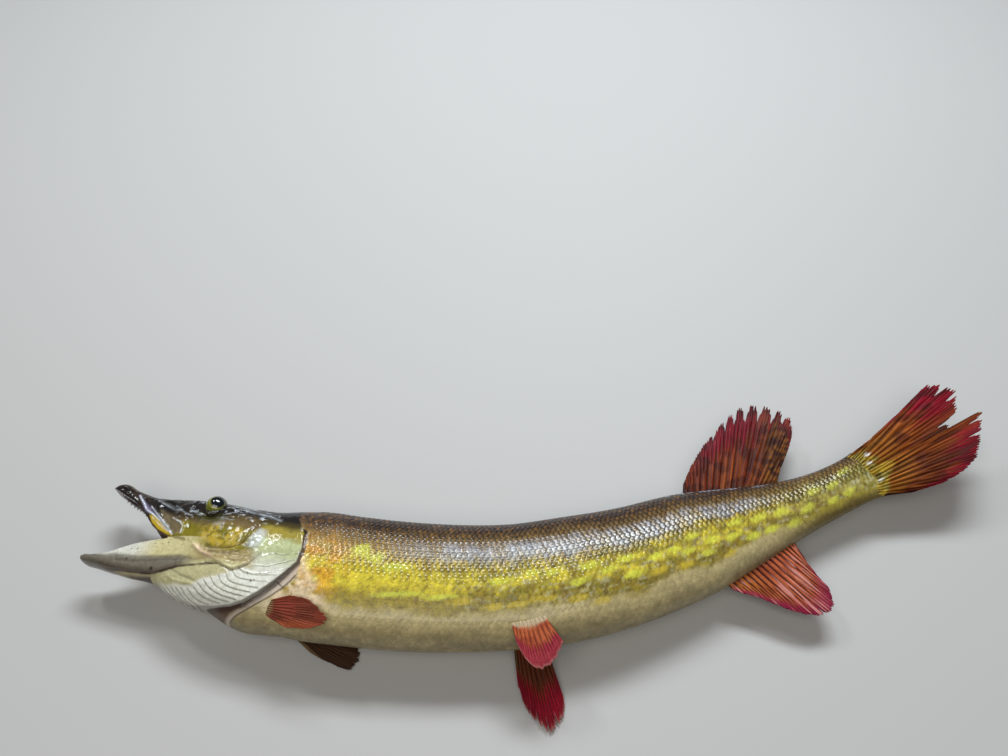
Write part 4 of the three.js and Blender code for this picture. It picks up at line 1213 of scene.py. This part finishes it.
finCommon = {'rows': 44, 'columns': 14, 'thin': 0.3, 'slits': ()}   # columns for each ray
fins = {
    'dorsal_fin': {
        'base': [(241, 31, 0), (263, 26, 0), (284, 21, 0), (301, 16.5, 0)],
        'tip': [(247, 41, 0), (261, 53, 0), (280, 65, 0), (300, 74, 0), (314, 78, 0),
                (327, 76, 0), (337, 66, 0), (341, 55, 0), (331.5, 42, 0), (307, 26.5, 0)],
        'rays': 17, 'ragged': 0.05, 'notch': 0.05, 'thick': (1.9, 0.7),
        'warp': 0.25, 'seed': 11, 'paint': dorsalPaint,
        'slits': [(0.27, 0.018, 0.09), (0.35, 0.02, 0.14), (0.43, 0.02, 0.18),
                  (0.51, 0.022, 0.20), (0.59, 0.02, 0.18), (0.665, 0.018, 0.15),
                  (0.73, 0.016, 0.10)],
    },
    'anal_fin': {
        'base': [(238, -24, 0), (256, -20, 0), (274, -16.5, 0), (290, -14, 0)],
        'tip': [(241, -31, 0), (252, -40, 0), (262, -50.5, 0), (271, -58, 0), (280, -62, 0),
                (287, -59, 0), (290.5, -50.5, 0), (289, -40, 0), (288.5, -27, 0)],
        'rays': 16, 'ragged': 0.04, 'notch': 0.035, 'thick': (1.9, 0.7),
        'warp': 0.25, 'seed': 21, 'paint': analPaint, 'slits': [(0.5, 0.012, 0.08)],
    },
    'tail_fin': {
        'base': [(352, 14.5, 0), (354, 8, 0), (355, 0, 0), (354, -9, 0), (352, -15.5, 0)],
        'tip': [(372, 17, 0), (398, 22, 0), (424, 30.5, 0), (437, 33, 0), (449, 23, 0),
                (440, 12, 0), (424, 1, 0), (449, 0.5, 1), (438.5, -8, 3), (430, -16, 5),
                (419, -24, 6), (397, -28, 4), (371, -23, 0)],
        'rays': 19, 'rows': 56, 'ragged': 0.05, 'notch': 0.04, 'thick': (5.6, 0.7),
        'thin': 0.35, 'warp': 0.3, 'seed': 31, 'paint': tailPaint,
        'slits': [(0.3, 0.01, 0.12), (0.36, 0.012, 0.14), (0.46, 0.012, 0.16),
                  (0.62, 0.01, 0.1), (0.7, 0.01, 0.12)],
    },
    'pectoral_fin_left': {
        'base': [(-4, -22.5, 17.5), (-5.5, -26.5, 15.5), (-6, -30, 13)],
        'tip': [(6, -20.4, 21.5), (16, -21.2, 22), (24, -25.5, 21), (28.5, -30.5, 18.5),
                (20, -34, 15), (6, -34.5, 12)],
        'rays': 9, 'ragged': 0.05, 'notch': 0.03, 'thick': (1.3, 0.7),
        'warp': 0.15, 'seed': 41, 'paint': leftPectoralPaint, 'slits': [(0.62, 0.02, 0.08)],
    },
    'pectoral_fin_right': {
        'base': [(0, -21, -17.5), (1, -26, -15), (3, -30, -12)],
        'tip': [(22, -24, -21), (38, -29, -21), (41, -35, -20.8), (38, -42, -20.5),
                (26, -40.5, -19.5), (14, -37, -16)],
        'rays': 9, 'ragged': 0.06, 'notch': 0.04, 'thick': (1.3, 0.7),
        'warp': 0.1, 'seed': 51, 'paint': rightPectoralPaint,
    },
    'pelvic_fin_left': {
        'base': [(119, -26.3, 14.4), (127, -25.6, 14.8), (136, -24.3, 15.6)],
        'tip': [(121, -37, 13), (124, -44, 11), (128.5, -49, 8.5), (134, -49.5, 8),
                (139, -45, 10), (143, -38.5, 13)],
        'rays': 9, 'ragged': 0.05, 'notch': 0.04, 'thick': (1.6, 0.7),
        'warp': 0.15, 'seed': 61, 'paint': leftPelvicPaint,
    },
    'pelvic_fin_right': {
        'base': [(120, -26, -12), (127, -25.5, -12.4), (136, -24.5, -13)],
        'tip': [(121, -50, -18), (124, -62, -19.5), (129, -71, -20), (134.5, -75.5, -20),
                (140, -70, -20), (142, -60, -19)],
        'rays': 9, 'ragged': 0.08, 'notch': 0.05, 'thick': (1.6, 0.7),
        'warp': 0.12, 'seed': 71, 'paint': rightPelvicPaint,
        'slits': [(0.4, 0.015, 0.1), (0.55, 0.015, 0.14), (0.7, 0.02, 0.12)],
    },
}
for finName, fin in fins.items():
    makeFin(finName.title(), {**finCommon, **fin}, finName)


scaleCoat = {
    'length': 4.7, 'width': 1.95, 'pitch': 3.2, 'row': 1.75,
    'from': -18, 'to': 370, 'rowsEachWay': 30, 'stagger': 0.22, 'slant': 0.28,
    'along': (0, 0.45, 0.82, 1.0),    # one scale's rows: how far along, how wide, how high
    'spread': (0.62, 1.0, 0.97, 0.60),
    'lift': (-0.34, 0.05, 0.15, 0.03),
    'crown': 0.12, 'sunk': 0.36,
    'stray': (0.5, 0.25), 'turn': 0.12, 'vary': 0.12,     # what differs from scale to scale
    'gillEdge': [(17, 3.5), (7, 5.4), (-1.5, 5.2), (-8.2, 4), (-13.7, 5), (-20.3, 4),
                 (-25.6, 0), (-29.4, -8), (-33, -16)],    # heights, and where the first stand
    'last': 356, 'bellyEdge': 0.4, 'backEdge': 0.7,       # and what is left free elsewhere
    'offSkin': 2.2, 'offFin': 1.6,
    'patch': 0.003, 'seed': 5,
    'unwrap': (-15, 380, 200),      # where the unwrap starts, and its length and girth
}
flankGrid = {'from': -12, 'to': 359, 'step': 2.0, 'reach': 52, 'arcStep': 0.5}
flankArc = np.arange(-flankGrid['reach'], flankGrid['reach'] + 0.1, flankGrid['arcStep'])


def makeFlankGrid():
    stations = np.arange(flankGrid['from'], flankGrid['to'], flankGrid['step'])
    rows = []
    turn = np.radians(np.linspace(-90, 90, 181))
    power = 2 / fish['bodyRound']
    rise = np.sign(np.sin(turn)) * np.abs(np.sin(turn)) ** power
    out = np.abs(np.cos(turn)) ** power
    for x in stations:
        top, low = bodyTop(x) - fish['inset'], bodyLow(x) + fish['inset']
        y = (top + low) / 2 + (top - low) / 2 * rise
        z = (bodyHalf(x) - fish['inset']) * out
        arc = np.concatenate([[0], np.cumsum(np.hypot(np.diff(y), np.diff(z)))])
        arc -= arc[90]
        rows.append(np.column_stack([np.interp(flankArc, arc, y), np.interp(flankArc, arc, z),
                                     np.full(len(flankArc), arc[0]),
                                     np.full(len(flankArc), arc[-1])]))
    return stations, np.array(rows)


flankStations, flankRows = makeFlankGrid()


def onFlank(x, arc):  # the left flank's surface at a station and an arc length from its middle
    i = np.clip((x - flankStations[0]) / flankGrid['step'], 0, len(flankStations) - 1.001)
    j = np.clip((arc - flankArc[0]) / flankGrid['arcStep'], 0, len(flankArc) - 1.001)
    i0, j0 = i.astype(int), j.astype(int)
    fi, fj = (i - i0)[:, None], (j - j0)[:, None]
    corner = flankRows
    values = ((corner[i0, j0] * (1 - fj) + corner[i0, j0 + 1] * fj) * (1 - fi)
              + (corner[i0 + 1, j0] * (1 - fj) + corner[i0 + 1, j0 + 1] * fj) * fi)
    return np.column_stack([x, values[:, 0], values[:, 1]]), values[:, 2], values[:, 3]


def flankNormal(x, arc):
    step = 0.6
    along = onFlank(x + step, arc)[0] - onFlank(x - step, arc)[0]
    around = onFlank(x, arc + step)[0] - onFlank(x, arc - step)[0]
    normal = np.cross(along, around)
    return normal / np.maximum(np.linalg.norm(normal, axis=1), 1e-9)[:, None]


def makeScaleShape():  # one scale, as (across -1 to 1, along 0 to 1, height in millimetres)
    bpy.ops.mesh.primitive_grid_add(x_subdivisions=4, y_subdivisions=3, size=2)
    obj = bpy.context.object
    points = pointsOf(obj)
    row = np.rint((points[:, 1] + 1) * 1.5).astype(int)
    across = points[:, 0].copy()
    along = np.array(scaleCoat['along'])[row]
    points[:, 0] = across * np.array(scaleCoat['spread'])[row]
    points[:, 1] = along * (1 - 0.2 * across ** 2)
    points[:, 2] = np.array(scaleCoat['lift'])[row] - scaleCoat['crown'] * across ** 2
    setPoints(obj, points)
    bpy.ops.object.mode_set(mode='EDIT')
    bpy.ops.mesh.select_all(action='SELECT')
    bpy.ops.mesh.extrude_region_move(TRANSFORM_OT_translate={'value': (0, 0, -1)})
    bpy.ops.mesh.merge(type='CENTER')
    bpy.ops.mesh.select_all(action='SELECT')
    bpy.ops.mesh.normals_make_consistent(inside=False)
    bpy.ops.object.mode_set(mode='OBJECT')
    points = pointsOf(obj).copy()
    points[points[:, 2].argmin()] = (0, 0.5, -scaleCoat['sunk'])
    faces = [list(polygon.vertices) for polygon in obj.data.polygons]
    bpy.data.objects.remove(obj)
    return points, faces


def finRoots():
    return np.vstack([fairCurve(fin['base'], np.linspace(0, 1, 60)) for fin in fins.values()])


def scalePlaces():
    coat = scaleCoat
    rng = np.random.default_rng(coat['seed'])
    stations = np.arange(coat['from'], coat['to'], coat['pitch'])
    arcs = (np.arange(-coat['rowsEachWay'], coat['rowsEachWay']) + 0.5) * coat['row']
    x, arc = (grid.ravel() for grid in np.meshgrid(stations, arcs))
    odd = np.rint(arc / coat['row'] - 0.5).astype(int) % 2
    x = x + odd * coat['pitch'] * coat['stagger'] - arc * coat['slant']
    x = x + (rng.random(len(x)) - 0.5) * coat['stray'][0]
    arc = arc + (rng.random(len(x)) - 0.5) * coat['stray'][1]
    points, lowest, highest = onFlank(x, arc)
    y = points[:, 1]
    keep = (arc > lowest + coat['bellyEdge']) & (arc < highest - coat['backEdge'])
    heights, starts = zip(*coat['gillEdge'])
    keep &= (x < coat['last']) & (x > np.interp(-y, [-height for height in heights], starts))
    return x[keep], arc[keep]


def lyingScales(side, start, end):  # the scales that lie on the skin, clear of the fins' roots
    coat = scaleCoat
    x, arc = scalePlaces()
    chosen = (x >= start) & (x < end)
    x, arc = x[chosen], arc[chosen]
    middle = onFlank(x, arc)[0] * (1, 1, side)
    normal = flankNormal(x, arc) * (1, 1, side)
    lift = np.zeros(len(x))
    for k, (place, out) in enumerate(zip(middle, normal)):
        lift[k] = (np.array(skinTree.find_nearest(Vector(place))[0]) - place) @ out
    gap = np.full(len(x), 1e9)
    for root in finRoots():
        gap = np.minimum(gap, np.linalg.norm(middle - root, axis=1))
    keep = (np.abs(lift) < coat['offSkin']) & (gap > coat['offFin'])
    return x[keep], arc[keep], lift[keep], middle[keep]


def scaleColours(points, template, x, middle, level, rng):
    # each scale keeps the skin's colour at its middle, darker at its rim and its root
    colour = bodyColour(points).reshape(len(x), len(template), 3)
    colour = colour * (0.88 + 0.24 * rng.random(len(x)))[:, None, None]
    rim = np.clip(0.5 * np.abs(template[:, 0]) ** 2 + (template[:, 1] > 0.75), 0, 1)
    spots, _ = blotches(middle)
    deep = 0.10 + 0.7 * smooth(level, -0.3, 0.15) * (1 - 0.6 * spots)
    deep *= 0.4 + 0.6 * smooth(x, 8, 45)
    shade = 1.1 - rim[None, :] * deep[:, None]
    return (colour * shade[:, :, None]).reshape(-1, 3)


def addBakeMap(mesh, side, x, arc, template):  # an unwrap of the flank, a patch for each scale
    unwrapFrom, unwrapLength, unwrapGirth = scaleCoat['unwrap']
    u = (x - unwrapFrom) / unwrapLength
    v = (0.25 if side > 0 else 0.75) + arc / unwrapGirth
    patch = (template[:, :2] * (0.5, 1) - (0, 0.5)) * scaleCoat['patch']
    uv = np.stack([u[:, None] + patch[None, :, 1], v[:, None] + patch[None, :, 0]],
                  axis=-1).reshape(-1, 2)
    layer = mesh.uv_layers.new(name='OFBake')
    corners = np.empty(len(mesh.loops), int)
    mesh.loops.foreach_get('vertex_index', corners)
    layer.data.foreach_set('uv', uv[corners].ravel())


def makeScales(name, side, start, end, shape):
    coat = scaleCoat
    template, faces = shape
    x, arc, lift, middle = lyingScales(side, start, end)
    rng = np.random.default_rng(coat['seed'] + 1)
    turn = (rng.random(len(x)) - 0.5) * coat['turn']
    size = 1 + (rng.random(len(x)) - 0.5) * coat['vary']
    across = template[:, 0][None, :] * coat['width'] * size[:, None]
    along = (template[:, 1][None, :] - 0.45) * coat['length'] * size[:, None]
    allX = x[:, None] + along - across * turn[:, None]
    allArc = arc[:, None] + across + along * turn[:, None]
    flat = onFlank(allX.ravel(), allArc.ravel())[0]
    out = flankNormal(allX.ravel(), allArc.ravel())
    level = flankLevel(x, middle[:, 1])
    proud = 0.3 + 0.7 * smooth(level, -0.7, -0.4)      # the belly's scales lie flatter
    height = (template[:, 2][None, :] * proud[:, None] + lift[:, None]).ravel()
    points = (flat + out * height[:, None]) * (1, 1, side)
    faces = np.array([face + [face[-1]] * (4 - len(face)) for face in faces])
    if side < 0:
        faces = faces[:, ::-1]
    firsts = np.arange(len(x))[:, None, None] * len(template)
    allFaces = [list(dict.fromkeys(face)) for face in (faces[None] + firsts).reshape(-1, 4).tolist()]
    mesh = bpy.data.meshes.new(name)
    mesh.from_pydata(points.tolist(), [], allFaces)
    obj = bpy.data.objects.new(name, mesh)
    bpy.context.collection.objects.link(obj)
    setPaint(obj, scaleColours(points, template, x, middle, level, rng))
    addBakeMap(mesh, side, x, arc, template)
    bendIntoPose(obj)
    dress(obj, scalePaint, 'painted_skin', angle=40)
    print(name, len(x), 'scales')


def makeAllScales():
    shape = makeScaleShape()
    for side, sideName in ((1, 'Left'), (-1, 'Right')):
        for start, end, part in ((-20, 165, 'Front'), (165, 400, 'Rear')):
            makeScales('Scales_' + sideName + '_' + part, side, start, end, shape)


makeAllScales()


eyeLook = {
    'gaze': (0.34, 0.2, 0.92),     # where the left pupil points in the straight fish
    'pupil': 4.15, 'iris': 6.0, 'litFrom': (-0.75, -0.65, 0),
    'tones': {'pupil': '#10161a', 'inner': '#96903a', 'iris': '#6e7022', 'outer': '#191c0c'},
}


def makeEye(name, side, node):
    x, y, z = eye['place']
    middle = np.array([x, y, z * side])
    obj = ball(name, (0, 0, 0), (1, 1, 1), segments=64)
    gaze = np.array(eyeLook['gaze']) * (1, 1, side)
    gaze /= np.linalg.norm(gaze)
    points = pointsOf(obj)
    # the sphere's pole is turned to the gaze, so that the rings of the iris run round it
    helper = np.cross(gaze, (0, 1, 0))
    helper /= np.linalg.norm(helper)
    points = (points[:, :1] * helper + points[:, 1:2] * np.cross(gaze, helper)
              + points[:, 2:] * gaze)
    facing = points @ gaze
    off = np.sqrt(np.clip(1 - facing ** 2, 0, 1)) * eye['radius']
    off = np.where(facing > 0, off, 2 * eye['radius'] - off)
    t = {name: tone(text) for name, text in eyeLook['tones'].items()}
    colour = mix(t['pupil'], t['inner'],
                 smooth(off, eyeLook['pupil'] - 0.2, eyeLook['pupil'] + 0.1))
    colour = mix(colour, t['iris'], smooth(off, eyeLook['pupil'] + 0.3, eyeLook['pupil'] + 0.8))
    colour = mix(colour, t['outer'], smooth(off, eyeLook['iris'] + 1.5, eyeLook['iris'] + 2.5))
    shaded = 1 - smooth((points - gaze) @ np.array(eyeLook['litFrom']), -0.35, 0.25)
    colour = mix(colour, t['outer'], 0.9 * shaded * (off > eyeLook['pupil']))
    colour = colour * (0.8 + 0.4 * noise(points * 20, 3, 13))[:, None]
    setPoints(obj, points * (eye['radius'] - eye['glassGap']) + middle)
    outwards(obj)
    setPaint(obj, colour)
    bendIntoPose(obj)
    dress(obj, eyePaint, 'glass_eye', node)


def makeEyePaint():
    material = newMaterial('glassEye', roughness=0.12, coat=1.0, coatRoughness=0.02)
    nodes, links = material.node_tree.nodes, material.node_tree.links
    paint = nodes.new('ShaderNodeAttribute')
    paint.attribute_name = 'paint'
    links.new(paint.outputs['Color'], nodes['Principled BSDF'].inputs['Base Color'])
    return material


eyePaint = makeEyePaint()
makeEye('Eye_Left', 1, 'eye_left')
makeEye('Eye_Right', -1, 'eye_right')
print('eyes')

tongue = {
    'table': [(-112, -7.7, -9.2, 1.4), (-104, -7.4, -10.2, 2.8), (-90, -6.4, -10.8, 4),
              (-70, -5, -11.4, 4.8)],
    'tones': ('#7d5a4c', '#58392f'),
}


def makeTongue():
    obj = tube('Tongue', tongue['table'], -111.6, -70.4, 1.5, sides=24, grow=-0.15)
    applyModifier(obj, 'SUBSURF', levels=1, render_levels=1)
    points = pointsOf(obj)
    light, dark = (tone(text) for text in tongue['tones'])
    setPaint(obj, mix(light, dark, noise(points, 3, 14)))
    bendIntoPose(obj)
    dress(obj, mouthPaint, 'mouth_lining', 'tongue')


makeTongue()

teeth = {
    'from': -121, 'to': -99, 'count': 9,      # along the upper lip, on both sides
    'length': 1.7, 'width': 0.5, 'inside': 1.3, 'tone': '#5b4a38', 'seed': 9,
}


def makeTeeth():
    bpy.ops.mesh.primitive_cone_add(vertices=8, radius1=1, radius2=0.1, depth=1)
    shape = bpy.context.object
    across, around, along = pointsOf(shape).T
    rng = np.random.default_rng(teeth['seed'])
    row = []
    for side in (1, -1):
        for k in range(teeth['count']):
            tooth = shape.copy()
            tooth.data = shape.data.copy()
            bpy.context.collection.objects.link(tooth)
            share = (k + 0.3 * rng.random()) / teeth['count']
            x = teeth['from'] + (teeth['to'] - teeth['from']) * share
            y = float(upperLip(x))
            z = side * (float(jawHalf['up'](x)) - teeth['inside'])
            long = teeth['length'] * (0.7 + 0.6 * rng.random())
            setPoints(tooth, np.column_stack([x + across * teeth['width'] + 0.5 * along,
                                              y - (along + 0.15) * long,
                                              z + around * teeth['width']]))
            row.append(tooth)
    bpy.data.objects.remove(shape)
    obj = joined(row, 'Teeth')
    setPaint(obj, tone(teeth['tone']))
    outwards(obj)
    bendIntoPose(obj)
    dress(obj, mouthPaint, 'mouth_lining')


makeTeeth()


floorLook = {'size': 8, 'roughness': 0.62, 'colour': (0.46, 0.455, 0.44, 1)}


def makeFloor():
    bpy.ops.mesh.primitive_plane_add(size=floorLook['size'])
    floor = bpy.context.object
    floor.name = 'floor'
    material = newMaterial('paleFloor', roughness=floorLook['roughness'])
    shader = material.node_tree.nodes['Principled BSDF']
    shader.inputs['Base Color'].default_value = floorLook['colour']
    floor.data.materials.append(material)


makeFloor()
